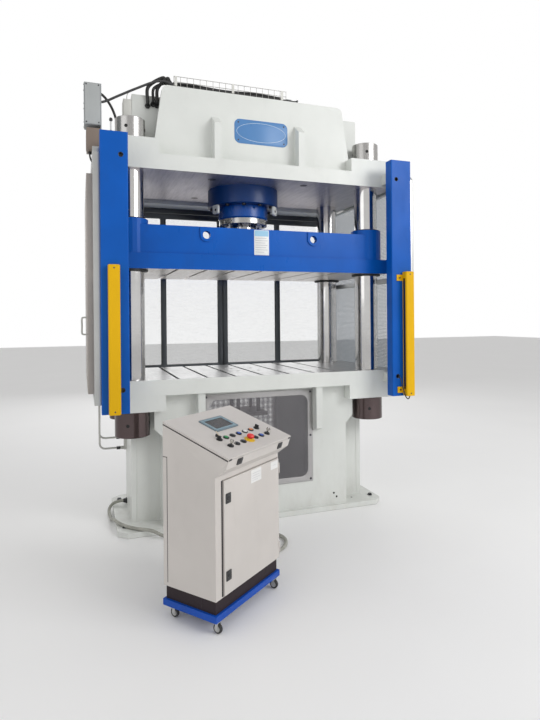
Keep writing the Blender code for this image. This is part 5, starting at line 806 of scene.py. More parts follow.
class PRESS_OT_crown(bpy.types.Operator):
    """Blank nameplate, plugs, welds and threaded holes of the crown"""
    bl_idname = "press.crown"
    bl_label = "Crown details"

    def execute(self, context):
        plate_blue = paint("plate_blue", (0.10, 0.25, 0.52), 0.30, 0.03, (0.2, 0.3, 0.45), 0.15, 0.00003,
                           gloss=0.3)
        face = [rounded(-0.190, 0.257, 2.982, 3.174, 0.045, 8)]
        show("nameplate", outline(face, 0.4200, 0.4225, FRONT, 0.0008), plate_blue, 40)
        rings = [around(0.0335, 3.078, 0.206, 72, 0, 0.37), around(0.0335, 3.078, 0.2035, 72, 0, 0.362)]
        show("nameplate_line", outline(rings, 0.4224, 0.4229, FRONT),
             plastic("pale_line", (0.62, 0.72, 0.80), 0.4))
        repeated("nameplate_screws", grid((-0.158, 0.225), -0.4224, (3.008, 3.148), AHEAD), pan_screw(),
                 steel("screw_dark", (0.10, 0.10, 0.11), 0.35, 9.0), 0.0065)
        top, wall, rim, thin, medium, thick = 2.814, 0.421, 0.514, 0.004, 0.005, 0.006
        seams = []
        for side in (-1, 1):
            y = side * wall
            seams.append((thick, (-0.828, y, top), (0.828, y, top)))
            for x in (-0.3725, -0.3175, 0.3175, 0.3725):
                seams += [(thin, (x, y, 3.13), (x, y, top + 0.001)),
                          (thin, (x, y, top), (x, side * rim, top))]
        for x in (-1, 1):
            seams.append((medium, (x * 0.96, -0.27, top), (x * 0.96, 0.27, top)))
            seams += [(thin, (x * 0.787, y, top), (x * 1.188, y, top)) for y in (-0.275, 0.275)]
        show("crown_welds", beads(*seams), MADE["frame_white"], 60)
        plugs = [facing((x, y, 2.6972), DOWN) for x, y in
                 ((-0.356, -0.342), (0.414, -0.380), (-0.356, 0.342), (0.414, 0.380))]
        plug = lathe([(0, 0.02), (0.24, 0.02), (0.30, 0.06), (0.86, 0.07), (1, 0), (0, 0)], 28)
        repeated("crown_plugs", plugs, plug, steel("plug_steel", (0.30, 0.28, 0.28), 0.4), 0.032)
        terminal = boxes((-1.024, -0.268, 3.145, -0.960, -0.150, 3.283, 0.004, 3),
                         (-1.020, -0.2705, 3.149, -0.964, -0.267, 3.279, 0.0012))
        show("terminal_box", terminal, paint("terminal_white", (0.70, 0.70, 0.66), 0.4, 0.03, grime=0.15), 40)
        # Dark discs in the pads' threaded holes are painted shade of the holes.
        repeated("pad_holes", grid((-1.150, 1.150), (-0.30, 0.30), 2.9232, UP), dark_hole(0.02),
                 plastic("hole_black", (0.012, 0.012, 0.012), 0.6), 0.011)
        return {"FINISHED"}


UPPER_NUT, LOWER_NUT, NUT_THREAD, SPANNER_ANGLE = 0.109, 0.127, 0.085, math.degrees(-0.35)


def nut(radius, end, seat, way):
    """Profile of a column's nut: a thread end that stands out a little, and chamfered rims."""
    return [(0, end), (NUT_THREAD, end), (NUT_THREAD, end + way * 0.006), (radius - 0.004, end + way * 0.006),
            (radius, end + way * 0.010), (radius, seat - way * 0.004), (radius - 0.004, seat),
            (NUT_THREAD, seat)]


class PRESS_OT_slide(bpy.types.Operator):
    """Blank data plate, wipers, bolts and turned steel of the slide, the columns and the main cylinder"""
    bl_idname = "press.slide"
    bl_label = "Slide and cylinder details"

    def execute(self, context):
        sheet = outline([rounded(-0.062, 0.060, 2.092, 2.288, 0.004)], 0.5050, 0.5062, FRONT, 0.0003)
        show("data_plate", sheet, paint("data_white", (0.80, 0.81, 0.80), 0.3, 0.02, grime=0.10), 40, SLIDE)
        band = outline([rounded(-0.058, 0.056, 2.240, 2.284, 0.002)], 0.5061, 0.5066, FRONT)
        show("data_plate_band", band, paint("band_blue", (0.33, 0.60, 0.80), 0.35, 0.03), body=SLIDE)
        rows = [outline([rounded(-0.052, right, 2.222 - 0.018 * k, 2.226 - 0.018 * k, 0.001, 2)],
                        0.5061, 0.5064, FRONT)
                for k, right in enumerate((0.04, 0.048, 0.03, 0.046, 0.036, 0.048, 0.02))]
        show("data_plate_rows", merged(*rows), plastic("row_grey", (0.48, 0.50, 0.53), 0.5), body=SLIDE)
        rubber = plastic("wiper_rubber", (0.018, 0.018, 0.02), 0.5)
        for name, ring in (("slide_wipers", [(0.0975, 2.334), (0.0975, 2.345), (0.112, 2.343),
                                             (0.120, 2.334)]),
                           ("slide_lower_wipers", [(0.0975, 1.9545), (0.0975, 1.950), (0.118, 1.951),
                                                   (0.1216, 1.9545), (0.1216, 1.9673)])):
            show(name, merged(*(lathe(ring, 48, at(x, y, 0.0)) for _, x, y in COLUMNS)), rubber, 35, SLIDE)
        black = steel("screw_black", (0.05, 0.05, 0.055), 0.35, 9.0)
        wiper = [spot for _, x, y in COLUMNS for spot in around(x, y, 0.1085, 6, 30)]
        for name, places, level, way, size, body in (
                ("wiper", wiper, 2.3352, UP, 0.0062, SLIDE),
                ("flange", around(0, 0, 0.268, 12, 15), 2.5468, DOWN, 0.0165, PRESS),
                ("gland", around(0, 0, 0.172, 8, 22.5), 2.3946, DOWN, 0.0095, PRESS),
                ("rod_flange", [(x, y) for x in (-0.12, 0.12) for y in (-0.12, 0.12)], 2.2932, UP, 0.014,
                 SLIDE)):
            repeated(f"{name}_screws", [facing((x, y, level), way) for x, y in places], cap_screw(), black,
                     size, body=body)
        ears, plugs = [], []
        for x, y in ((-0.2685, -0.118), (0.222, -0.188)):
            turn = at(x, y, 0.0) @ turned(math.atan2(y, x) + math.pi / 2, "Z")
            ears.append(outline([rounded(-0.036, 0.036, 2.472, 2.5468, 0.014, 4),
                                 around(0, 2.506, 0.0125, 20)],
                                -0.009, 0.009, turn @ FRONT, 0.0012))
            # Black rods in the ears' holes are painted shade of the open holes.
            plugs.append((0.0118, Vector((x, y - 0.006, 2.506)), Vector((x, y + 0.006, 2.506))))
        show("cylinder_ears", merged(*ears), MADE["frame_white"], 40)
        show("cylinder_ear_plugs", rods(*plugs), black, 40)
        rim = [(0.1138, 2.2935), (0.1138, 2.318), (0.160, 2.318), (0.166, 2.312), (0.166, 2.2935)]
        show("rod_flange", lathe(rim), MADE["press_blue"], 35, SLIDE)
        self.turned_pieces()
        return {"FINISHED"}

    @staticmethod
    def turned_pieces():
        """Finely turned cylinder, gland, rod, columns and nuts in place of their faceted solids."""
        for name, material, body, node, profile in (
                # The flange takes the dark blue copy, which is painted shade.
                ("cylinder_flange", "cylinder_blue", PRESS, "main_cylinder",
                 [(0.15, 2.547), (0.296, 2.547), (0.302, 2.553), (0.302, 2.697), (0.2135, 2.697),
                  (0.2135, 2.700)]),
                ("cylinder_barrel", "barrel_blue", PRESS, "main_cylinder",
                 [(0.15, 2.441), (0.2015, 2.441), (0.2135, 2.453), (0.2135, 2.547)]),
                ("gland_ring", "gland_steel", PRESS, "cylinder_gland",
                 [(0.1142, 2.3950), (0.204, 2.3950), (0.207, 2.3980), (0.207, 2.4407), (0.1142, 2.4407)]),
                ("piston", "rod_chrome", SLIDE, "piston_rod",
                 [(0, 2.2933), (0.1135, 2.2933), (0.1135, 3.085), (0.1497, 3.085), (0.1497, 3.145),
                  (0, 3.145)])):
            show(name, lathe(profile, 96), MADE[material], 35, body, node)
        profiles = (
            ("shaft", MADE["column_steel"],
             [(0.085, 1.1543), (0.096, 1.1543), (0.096, 2.6967), (0.085, 2.6967)]),
            ("upper_nut", steel("nut_bright", (0.56, 0.55, 0.54), 0.24, (26.0, 26.0, 1.0), 0.00006,
                                stains=0.2),
             nut(UPPER_NUT, 3.0813, 2.9233, -1)),
            ("lower_nut", steel("nut_steel", (0.13, 0.10, 0.10), 0.17, (26.0, 26.0, 1.0), 0.00008,
                                (0.10, 0.06, 0.05), 0.3),
             nut(LOWER_NUT, 0.7327, 0.9227, 1)))
        holes = []
        for name, x, y in COLUMNS:
            for part, material, profile in profiles:
                show(f"column_{part}_{name}", lathe(profile, 72, at(x, y, 0.0)), material, 35, PRESS,
                     f"column_{name}")
            for radius, level in ((UPPER_NUT, 2.9993), (LOWER_NUT, 0.8307)):
                for way_x, way_y in around(0, 0, 1.0, 4, SPANNER_ANGLE):
                    way = Vector((way_x, way_y, 0.0))
                    holes.append(facing(Vector((x, y, level)) + way * (radius - 0.0002), way))
        # Black cups in the nuts' spanner holes are painted shade of the holes.
        hole = lathe([(0, 0.02), (0.75, 0.03), (1, 0.05), (1, -0.3)], 20)
        repeated("spanner_holes", holes, hole, MADE["hole_black"], 0.0125)


class PRESS_OT_posts(bpy.types.Operator):
    """Pin, painted shade in the holes, lenses, end caps and cable of the guard posts and light curtains"""
    bl_idname = "press.posts"
    bl_label = "Post and curtain details"

    def execute(self, context):
        black, dark = MADE["control_black"], MADE["screw_dark"]
        x, y = -1.137, -0.69
        show("post_pin", rods((0.0062, (x, y, 2.868), (x, y, 2.950))),
             plastic("pin_white", (0.72, 0.72, 0.70), 0.35), 40)
        knob = [(0, 2.972), (0.006, 2.971), (0.0105, 2.966), (0.012, 2.958), (0.0105, 2.950), (0.006, 2.946),
                (0, 2.945)]
        collar = [(0.0062, 2.884), (0.011, 2.883), (0.0125, 2.870), (0.0062, 2.870)]
        show("post_pin_knob", merged(*(lathe(profile, 20, at(x, y, 0.0)) for profile in (knob, collar))),
             black, 40)
        # Black cups in the posts' holes are painted shade of the holes' insides.
        cup = lathe([(0, -1.2), (0.72, -1.15), (0.78, 0.05), (0.98, 0.10), (1, 0), (1, -0.2)], 24)
        repeated("post_grommets", grid((-1.077, 1.077), -0.7325, (2.715, 1.12), AHEAD), cup, black, 0.0178)
        lenses, caps = [], []
        for side, inner, outer in ((-1, 1.091, 1.169), (1, 1.121, 1.199)):
            lenses.append(sided(side, inner + 0.0005, inner + 0.0038, -0.7805, 1.017, -0.7525, 1.910))
            caps += [sided(side, inner + 0.006, outer - 0.006, -0.792, base, -0.741, top)
                     for base, top in ((0.9625, 0.9655), (1.9615, 1.9655))]
        show("curtain_lenses", boxes(*lenses, soft=0.0006),
             plastic("lens_black", (0.012, 0.010, 0.016), 0.12, coat=0.6))
        show("curtain_caps", boxes(*caps, soft=0.001), MADE["curtain_yellow"], 40)
        route = [(1.077, -0.728, 1.120), (1.077, -0.752, 1.118), (1.084, -0.772, 1.085),
                 (1.098, -0.778, 1.020), (1.118, -0.776, 0.965), (1.144, -0.770, 0.938),
                 (1.160, -0.768, 0.946), (1.163, -0.768, 0.966)]
        show("curtain_cable", hose(route, 0.0042, 10, 10, 0.006),
             plastic("cable_black", (0.02, 0.02, 0.02), 0.5), 50)
        show("curtain_gland", gland_mesh(facing((1.163, -0.768, 0.9655), DOWN), 0.0045), black, 35)
        repeated("curtain_screws", grid((-1.130, 1.160), -0.7972, (0.985, 1.942), AHEAD), pan_screw(), dark,
                 0.0055)
        repeated("curtain_tab_screws", grid(1.096, -0.7414, (1.010, 1.917), AHEAD), cap_screw(), dark, 0.0065)
        return {"FINISHED"}


GUARD_PLANE, DOOR_FACE, DOOR_BACK = 1.2358, 0.720, 0.765


class PRESS_OT_guards(bpy.types.Operator):
    """Profiles, clear panes, wire mesh and hinges of the rear doors and side guards"""
    bl_idname = "press.guards"
    bl_label = "Guards"

    def execute(self, context):
        upright = turned(math.pi / 2, "Z")
        for side, name in SIDES:
            self.rear_door(side, name, upright)
        wires = paint("guard_wire", (0.045, 0.105, 0.165), 0.5, 0.06, (0.03, 0.05, 0.07), 0.2, gloss=0.25,
                      coat=0.0)
        for side, name in SIDES:
            rim = [(-0.70, 1.02), (0.765, 1.02), (0.765, 2.78), (-0.65, 2.78), (-0.70, 2.73)]
            sheet = side * GUARD_PLANE
            border = outline([rim, rounded(-0.655, 0.720, 1.065, 2.685, 0.012, 4)],
                             *sorted((sheet - 0.0225, sheet + 0.0225)), SIDE, 0.0015)
            middle = outline([rounded(-0.656, 0.721, 1.90, 1.94, 0.001, 1)],
                             sheet - 0.018, sheet + 0.018, SIDE, 0.001)
            show(f"side_frame_{name}", merged(border, middle), MADE["guard_aluminium"], 40,
                 instead=f"side_guard_{name}")
            lattice(f"side_mesh_{name}", (-0.660, 1.060), (0.725, 2.690),
                    context.scene.press_look.guard_pitch, 0.0024, wires, at(sheet, 0.0, 0.0) @ SIDE,
                    f"side_guard_{name}")
        panel = boxes((-1.2983, -0.55, 1.08, -1.2375, 0.70, 2.62, 0.006, 3),
                      (-1.3000, -0.51, 1.12, -1.2975, 0.66, 2.58, 0.0015))
        grip = pull_handle(facing((-1.2995, -0.472, 1.555), LEFT) @ upright, 0.12, 0.034)
        for name, mesh, material, smooth in (
                ("door", panel, paint("service_panel", (0.47, 0.43, 0.40), 0.4, 0.05, grime=0.3), 40),
                ("grip", grip, MADE["pipe_zinc"], 50),
                ("catch", boxes((-1.3015, -0.535, 1.205, -1.2990, -0.505, 1.315)), MADE["terminal_white"],
                 None)):
            show(f"service_{name}", mesh, material, smooth, instead="side_guard_left")
        roof = boxes((-1.165, 0.5228, 2.6655, 1.165, 0.7435, 2.6685),
                     (-1.165, 0.5206, 2.6655, 1.165, 0.5236, 2.7120), soft=0.0006)
        show("guard_roof", roof, MADE["frame_white"], 40)
        return {"FINISHED"}

    @staticmethod
    def rear_door(side, name, upright):
        """One leaf: profile with hinges, gaskets, panes, handle and grooves."""
        panes = [(0.047, 0.5625), (0.6075, 1.119)]
        loops = [mirrored(side, 0.002, 1.164, 1.109, 2.616, 0.004, 2)]
        loops += [mirrored(side, a, b, 1.154, 2.571, 0.012, 4) for a, b in panes]
        hinges = []
        for z in (1.3203, 2.3803):
            hinges += [rods((0.008, (side * 1.166, 0.7745, z), (side * 1.166, 0.7745, z + 0.035))),
                       boxes(sided(side, 1.134, 1.166, 0.7695, z, 0.7745, z + 0.035),
                             sided(side, 1.134, 1.1575, 0.764, z, 0.7745, z + 0.035), soft=0.0006)]
        seals = [outline([mirrored(side, a - 0.0005, b + 0.0005, 1.1535, 2.5715, 0.012, 4),
                          mirrored(side, a + 0.004, b - 0.004, 1.158, 2.567, 0.010, 4)],
                         -0.7475, -0.7375, FRONT) for a, b in panes]
        sheets = [outline([mirrored(side, a + 0.001, b - 0.001, 1.155, 2.570, 0.012, 4)],
                          -0.7445, -0.7405, FRONT)
                  for a, b in panes]
        handle = pull_handle(facing((side * 0.0245, DOOR_BACK, 1.75), BACK) @ upright, 0.14, 0.03)
        grooves = boxes(*(sided(side, x - 0.004, x + 0.004, 0.7647, 1.13, 0.7656, 2.59)
                          for x in (0.0245, 0.585, 1.1415)), soft=0.0003)
        rubber = plastic("seal_black", (0.02, 0.02, 0.022), 0.6)
        for part, mesh, material, smooth in (
                ("leaf", merged(outline(loops, -DOOR_BACK, -DOOR_FACE, FRONT, 0.0015), *hinges),
                 MADE["dark_profile"], 40),
                ("gaskets", merged(*seals), rubber, None),
                ("panes", merged(*sheets), clear("door_glass", (0.86, 0.92, 0.94), 0.10), None),
                ("handle", handle, MADE["control_black"], 50), ("grooves", grooves, rubber, None)):
            show(f"rear_{part}_{name}", mesh, material, smooth, f"rear_door_{name}_leaf", f"rear_door_{name}")


class PRESS_OT_wiring(bpy.types.Operator):
    """Wire tray, cables, hoses, boxes and pipe fittings"""
    bl_idname = "press.wiring"
    bl_label = "Wiring and pipes"

    def execute(self, context):
        self.tray()
        self.crown_hoses()
        self.boxes()
        self.pipes()
        return {"FINISHED"}

    @staticmethod
    def tray():
        """The wire tray with its cables, clips and the joint box at its rear end."""
        zinc = steel("tray_zinc", (0.50, 0.49, 0.47), 0.35, 8.0, stains=0.2)
        cable = MADE["cable_black"]
        front, back, floor, top = -0.398, -0.272, 3.3665, 3.4465
        rib = tube([(0, front, top), (0, front, floor + 0.006), (0, front + 0.006, floor),
                    (0, back - 0.006, floor), (0, back, floor + 0.006), (0, back, top)], 0.0020, 8)
        repeated("tray_ribs", [at(-0.658 + 0.0508 * k, 0.0, 0.0) for k in range(19)], rib, zinc, smooth=60,
                 instead="cable_tray")
        runs = [tube([(-0.66, y, z), (0.26, y, z)], 0.0022, 8)
                for y, z in ((front - 0.0015, top), (front - 0.0015, 3.406), (back + 0.0015, top),
                             (back + 0.0015, 3.406), (-0.356, floor - 0.0005), (-0.314, floor - 0.0005))]
        show("tray_rails", merged(*runs), zinc, 60, instead="cable_tray")
        bundle = []
        for k, (y, z, radius) in enumerate(((-0.385, 3.382, 0.011), (-0.360, 3.380, 0.010),
                                            (-0.335, 3.383, 0.012), (-0.306, 3.379, 0.009),
                                            (-0.372, 3.402, 0.009), (-0.345, 3.405, 0.010))):
            route = [(x, y + 0.005 * math.sin(9 * x + k), z + 0.003 * math.sin(13 * x + 2 * k))
                     for x in [-0.66 + 0.04 * i for i in range(24)] if x < 0.25 - 0.02 * (k % 3)]
            bundle.append(hose(route, radius, 10, 3))
        show("tray_cables", merged(*bundle), cable, 60)
        clips = boxes(*((x - 0.010, -0.4045, 3.374, x + 0.010, -0.4000, 3.448)
                        for x in (-0.644, -0.193, 0.221)))
        show("tray_clips", clips, MADE["terminal_white"])
        tail = [(0.225, -0.385, 3.384), (0.280, -0.394, 3.379), (0.335, -0.396, 3.378),
                (0.362, -0.385, 3.392), (0.372, -0.362, 3.398), (0.372, -0.345, 3.388),
                (0.372, -0.345, 3.366)]
        show("tray_tail", merged(hose(tail, 0.006), gland_mesh(facing((0.372, -0.345, 3.3645), UP), 0.007)),
             cable, 50)
        show("tray_joint_box", boxes((0.264, -0.372, 3.3645, 0.316, -0.300, 3.402, 0.002)), MADE["box_grey"],
             40)

    @staticmethod
    def crown_hoses():
        """Hoses from the tray over the crown's edge, and the duct, hose and wire to the boxes."""
        cable = MADE["cable_black"]
        hoses, glands = [], []
        for y, z, over, (x, low), radius in (
                (-0.335, 3.385, (-0.735, -0.300, 3.462), (-0.842, 3.245), 0.0135),
                (-0.360, 3.382, (-0.700, -0.330, 3.450), (-0.770, 3.255), 0.0130),
                (-0.306, 3.380, (-0.715, -0.285, 3.430), (-0.800, 3.262), 0.0110)):
            route = [(-0.66, y, z), ((over[0] - 0.66) / 2 - 0.004, (y + over[1]) / 2, over[2] - 0.022), over,
                     (x + 0.004, -0.292, (over[2] + low) / 2 + 0.03), (x, -0.290, low + 0.028),
                     (x, -0.270, low)]
            hoses.append(hose(route, radius, 12, 10, 0.006))
            glands.append(gland_mesh(facing((x, -0.2702, low), AHEAD), 0.012))
        show("crown_hoses", merged(*hoses), cable, 60)
        show("crown_hose_glands", merged(*glands), MADE["gland_black"], 35)
        duct = [(-0.66, -0.385, 3.384), (-0.72, -0.365, 3.412), (-0.80, -0.345, 3.405),
                (-0.93, -0.330, 3.345), (-1.06, -0.325, 3.275), (-1.15, -0.330, 3.222),
                (-1.215, -0.350, 3.195), (-1.240, -0.379, 3.190)]
        show("box_duct", corrugated(smooth_line(duct, 10), 0.004, 0.0095, 0.0086),
             plastic("duct_black", (0.05, 0.05, 0.052), 0.5), 50)
        arc = [(-1.270, -0.379, 3.235), (-1.262, -0.345, 3.262), (-1.210, -0.330, 3.280),
               (-1.150, -0.300, 3.250), (-1.095, -0.262, 3.175), (-1.062, -0.246, 3.060),
               (-1.055, -0.240, 2.930), (-1.055, -0.240, 2.813)]
        show("box_hose", hose(arc, 0.0095, 12, 10, 0.008), cable, 60)
        wire = [(-0.992, -0.205, 3.283), (-0.990, -0.225, 3.330), (-0.965, -0.270, 3.350),
                (-0.930, -0.320, 3.352)]
        show("terminal_wire", hose(wire, 0.003, 8), MADE["terminal_white"], 60)

    @staticmethod
    def boxes():
        """Covers, screws and glands on the two boxes at the crown's left end."""
        cover = boxes((-1.3010, -0.5145, 2.9790, -1.2000, -0.5098, 3.2660, 0.0015),
                      (-1.3085, -0.5060, 2.9790, -1.3050, -0.3840, 3.2660, 0.0015))
        show("box_covers", cover, paint("box_cover", (0.44, 0.46, 0.46), 0.4, 0.05, grime=0.3), 40)
        lower = boxes((-1.2925, -0.5125, 2.798, -1.1965, -0.3785, 2.952, 0.003),
                      (-1.2955, -0.500, 2.815, -1.2920, -0.390, 2.935, 0.001))
        show("lower_box", lower, paint("box_brown", (0.23, 0.18, 0.145), 0.5, 0.08, grime=0.3), 40)
        spots = (grid((-1.292, -1.209), -0.5146, (2.990, 3.255), AHEAD)
                 + grid(-1.3086, (-0.497, -0.393), (2.990, 3.122, 3.255), LEFT))
        repeated("box_screws", spots, pan_screw(), MADE["screw_dark"], 0.0055)
        ends = [gland_mesh(facing(place, way), 0.0095) for place, way in (
            ((-1.240, -0.3798, 3.190), BACK), ((-1.270, -0.3798, 3.235), BACK),
            ((-1.055, -0.240, 2.813), UP))]
        ends += [gland_mesh(pose, 0.007) for pose in grid((-1.27, -1.235), -0.445, 2.798, DOWN)]
        show("box_glands", merged(*ends), MADE["gland_black"], 35)
        loops = [hose([(x, -0.445, 2.798), (x, -0.445, 2.768), (x + 0.010, -0.438 - sag, 2.738 - sag),
                       (x + 0.036 - sag, -0.432, 2.716 - sag), (-1.1905, -0.430, 2.712 - sag)], 0.0058)
                 for x, sag in ((-1.270, 0.0), (-1.235, 0.012))]
        show("box_cables", merged(*loops), MADE["cable_black"], 60)

    @staticmethod
    def pipes():
        """Nuts and black clamps on the pipes."""
        nuts, collars = [], []
        for y, z in ((0.200, 0.520), (0.236, 0.600)):
            nuts += [lathe([(0.0085, 0.030), (0.0140, 0.027), (0.0150, 0.024), (0.0150, 0)], 6,
                           facing((-1.0056, y, z), LEFT)),
                     lathe([(0.0085, 0.030), (0.0112, 0.027), (0.0112, 0)], 6,
                           facing((-1.2016, y, 2.725), DOWN))]
            collars.append((-1.066, y - 0.014, z - 0.012, -1.036, y + 0.014, z + 0.012))
        show("pipe_nuts", merged(*nuts), MADE["pipe_zinc"], 30)
        show("pipe_collars", boxes(*collars, soft=0.002), MADE["control_black"], 40)


COVER_PLANE = 0.4203


class PRESS_OT_base(bpy.types.Operator):
    """Wire-mesh covers, screws, anchor bolts, welds and holes of the base"""
    bl_idname = "press.base"
    bl_label = "Base details"

    def execute(self, context):
        pitch, dark = context.scene.press_look.grille_pitch, MADE["screw_dark"]
        net = steel("mesh_steel", (0.34, 0.33, 0.35), 0.4, 8.0, stains=0.3)
        rim_steel = steel("rim_steel", (0.50, 0.49, 0.49), 0.4, 6.0, stains=0.25)
        rim = [rounded(-0.4572, 0.4572, 0.255, 1.013, 0.004, 2),
               rounded(-0.4122, 0.4122, 0.300, 0.968, 0.060, 6)]
        screws = []
        for side, name in ((-1, "front"), (1, "rear")):
            y, node = side * COVER_PLANE, f"base_grille_{name}"
            border = outline(rim, *sorted((-y, -(y + side * 0.006))), FRONT, 0.0008)
            show(f"grille_border_{name}", border, rim_steel, 40, instead=node)
            lattice(f"grille_mesh_{name}", (-0.420, 0.292), (0.420, 0.976), pitch, 0.0026, net,
                    at(0.0, y + side * 0.0022, 0.0) @ FRONT, node)
            screws += grid((-0.436, 0.436), y + side * 0.0060, (0.992, 0.634, 0.276), (0, side, 0))
        repeated("grille_screws", screws, pan_screw(), dark, 0.0095)
        anchors = [facing((x * 1.04, y * 0.33, 0.0402), UP, 0.3) for _, x, y in CORNERS]
        repeated("anchor_bolts", anchors, hex_nut(), dark, 0.021)
        foot = 0.041
        seams = []
        for y in (-1, 1):
            seams.append((0.005, (-0.766, y * 0.421, foot), (0.766, y * 0.421, foot)))
            for x in (-1, 1):
                seams += [(0.005, (x * 0.985, y * 0.261, foot), (x * 0.767, y * 0.261, foot)),
                          (0.0028, (x * 0.947, y * 0.2605, 0.045), (x * 0.947, y * 0.2605, 1.034)),
                          (0.004, (x * 0.767, y * 0.264, 0.045), (x * 0.767, y * 0.264, 0.70)),
                          (0.004, (x * 0.767, y * 0.264, foot), (x * 0.767, y * 0.418, foot))]
        seams += [(0.005, (x, -0.258, foot), (x, 0.258, foot)) for x in (-0.986, 0.986)]
        show("base_welds", beads(*seams), MADE["base_white"], 60)
        # Dark discs in the base's holes are painted shade of the holes.
        front = [facing((x, -COVER_PLANE, z), AHEAD) for x, z in ((0.648, 0.130), (0.673, 0.097))]
        for name, spots in (("base_holes", front), ("plate_holes", grid((0.80, 0.86), -0.3305, 0.0402, UP))):
            repeated(name, spots, dark_hole(0.03), MADE["hole_black"], 0.0085)
        return {"FINISHED"}


class PRESS_OT_console(bpy.types.Operator):
    """Seals, latch surrounds, labels, rear panel and caster hubs of the console"""
    bl_idname = "press.console"
    bl_label = "Console details"

    def execute(self, context):
        grey, black = MADE["cabinet_grey"], MADE["control_black"]
        seal = plastic("seal_dark", (0.03, 0.024, 0.03), 0.7)

        def on_lid(half, front, rear, radius, steps):
            return rounded(-half, half, front - LID_LENGTH, rear, radius, steps)

        lid_seal = [on_lid(0.298, 0.002, -0.002, 0.004, 2), on_lid(0.284, 0.016, -0.016, 0.004, 2)]
        show("lid_seal", outline(lid_seal, -0.0039, -0.0002, LID), seal, body=LID_PANEL)
        skirt = [on_lid(0.3026, -0.0026, 0.0, 0.004, 3), on_lid(0.3012, -0.0012, -0.001, 0.003, 3)]
        show("lid_skirt", outline(skirt, -0.0008, 0.0094, LID, 0.0004), grey, 40, LID_PANEL)
        seam = [on_lid(0.3004, -0.0004, -0.002, 0.003, 3), on_lid(0.2960, 0.004, -0.006, 0.003, 3)]
        show("lid_seam", outline(seam, -0.0092, -0.0042, LID), seal)
        corners = boxes(*((x - 0.011, -LID_LENGTH - 0.0045, -0.0042, x + 0.011, -LID_LENGTH - 0.0010, 0.0050)
                          for x in (-0.286, 0.286)), place=LID)
        show("lid_corner_plugs", corners, black, 40, LID_PANEL)
        surrounds = [latch_frame(0.043, 0.052, 0.0122, CONSOLE_FRONT @ at(0.095, z, 0.0101))
                     for z in (0.673, 0.275)]
        show("door_latch_surrounds", merged(*surrounds), black, 40, DOOR_LEAF)
        lip = CONSOLE @ at(0.0, -0.078, 0.871) @ turned(math.pi / 2 + math.atan2(0.016, 0.046), "X")
        frames = [latch_frame(0.045, 0.036, 0.0122, lip @ at(x, 0.0, 0.0001)) for x in (0.105, 0.495)]
        show("lip_latch_surrounds", merged(*frames), black, 40)
        tags = [outline([rounded(*tag, 0.003, 3)], 0.0100, 0.0106, CONSOLE_FRONT)
                for tag in ((0.305, 0.405, 0.692, 0.762), (0.505, 0.580, 0.716, 0.760))]
        show("door_labels", merged(*tags), paint("label_white", (0.80, 0.80, 0.79), 0.35, 0.02, grime=0.06),
             body=DOOR_LEAF)
        bars = [outline([rounded(a, b, c, c + 0.003, 0.001, 1)], 0.0105, 0.0109, CONSOLE_FRONT)
                for a, b, c in ((0.315, 0.395, 0.741), (0.315, 0.385, 0.728), (0.315, 0.395, 0.715),
                                (0.315, 0.370, 0.703), (0.525, 0.560, 0.737))]
        show("label_rows", merged(*bars), plastic("row_pale", (0.62, 0.62, 0.63), 0.5), body=DOOR_LEAF)
        # A dark strip along the door's gap is painted shade of the gap.
        gap = boxes((0.0490, -0.0006, 0.178, 0.0600, 0.0035, 0.770), soft=0.0002, place=CONSOLE)
        show("door_gap_seal", gap, seal)
        panel = boxes((0.022, 0.3552, 0.192, 0.578, 0.3622, 0.860, 0.0015), place=CONSOLE)
        show("rear_panel", panel, grey, 40)
        strips = []
        for x in (-0.0008, 0.6000):
            strips += [(x, 0.3240, 0.192, x + 0.0008, 0.3275, 0.862),
                       (x, 0.3240, 0.8585, x + 0.0008, 0.3550, 0.862)]
        show("side_grooves", boxes(*strips, soft=0.0002, place=CONSOLE), seal)
        heights = (0.74, 0.30)
        latches = [latch_frame(0.043, 0.052, 0.009, CONSOLE_REAR @ at(-0.545, z, 0.3622)) for z in heights]
        discs = rods(*((0.0088, *(CONSOLE @ Vector((0.545, y, z)) for y in (0.362, 0.3665)))
                       for z in heights))
        show("rear_latches", merged(*latches, discs), black, 40)
        hub = [(0, 0.0094), (0.006, 0.0092), (0.013, 0.0098), (0.0165, 0.0092)]
        hub += [(radius, -z) for radius, z in reversed(hub)]
        for name, x, y in CORNERS:
            pose = CONSOLE @ facing((0.30 + x * 0.268, 0.1775 + y * 0.1455 - 0.018, 0.025), RIGHT)
            show(f"caster_hub_{name}", lathe(hub, 24, pose), MADE["zinc"], 40, f"caster_roller_{name}")
        joints = boxes((0.470, 0.0092, 0.103, 0.4725, 0.0101, 0.170),
                       (0.0092, 0.10, 0.103, 0.0101, 0.1025, 0.170), soft=0.0002, place=CONSOLE)
        show("plinth_joints", joints, seal)
        return {"FINISHED"}


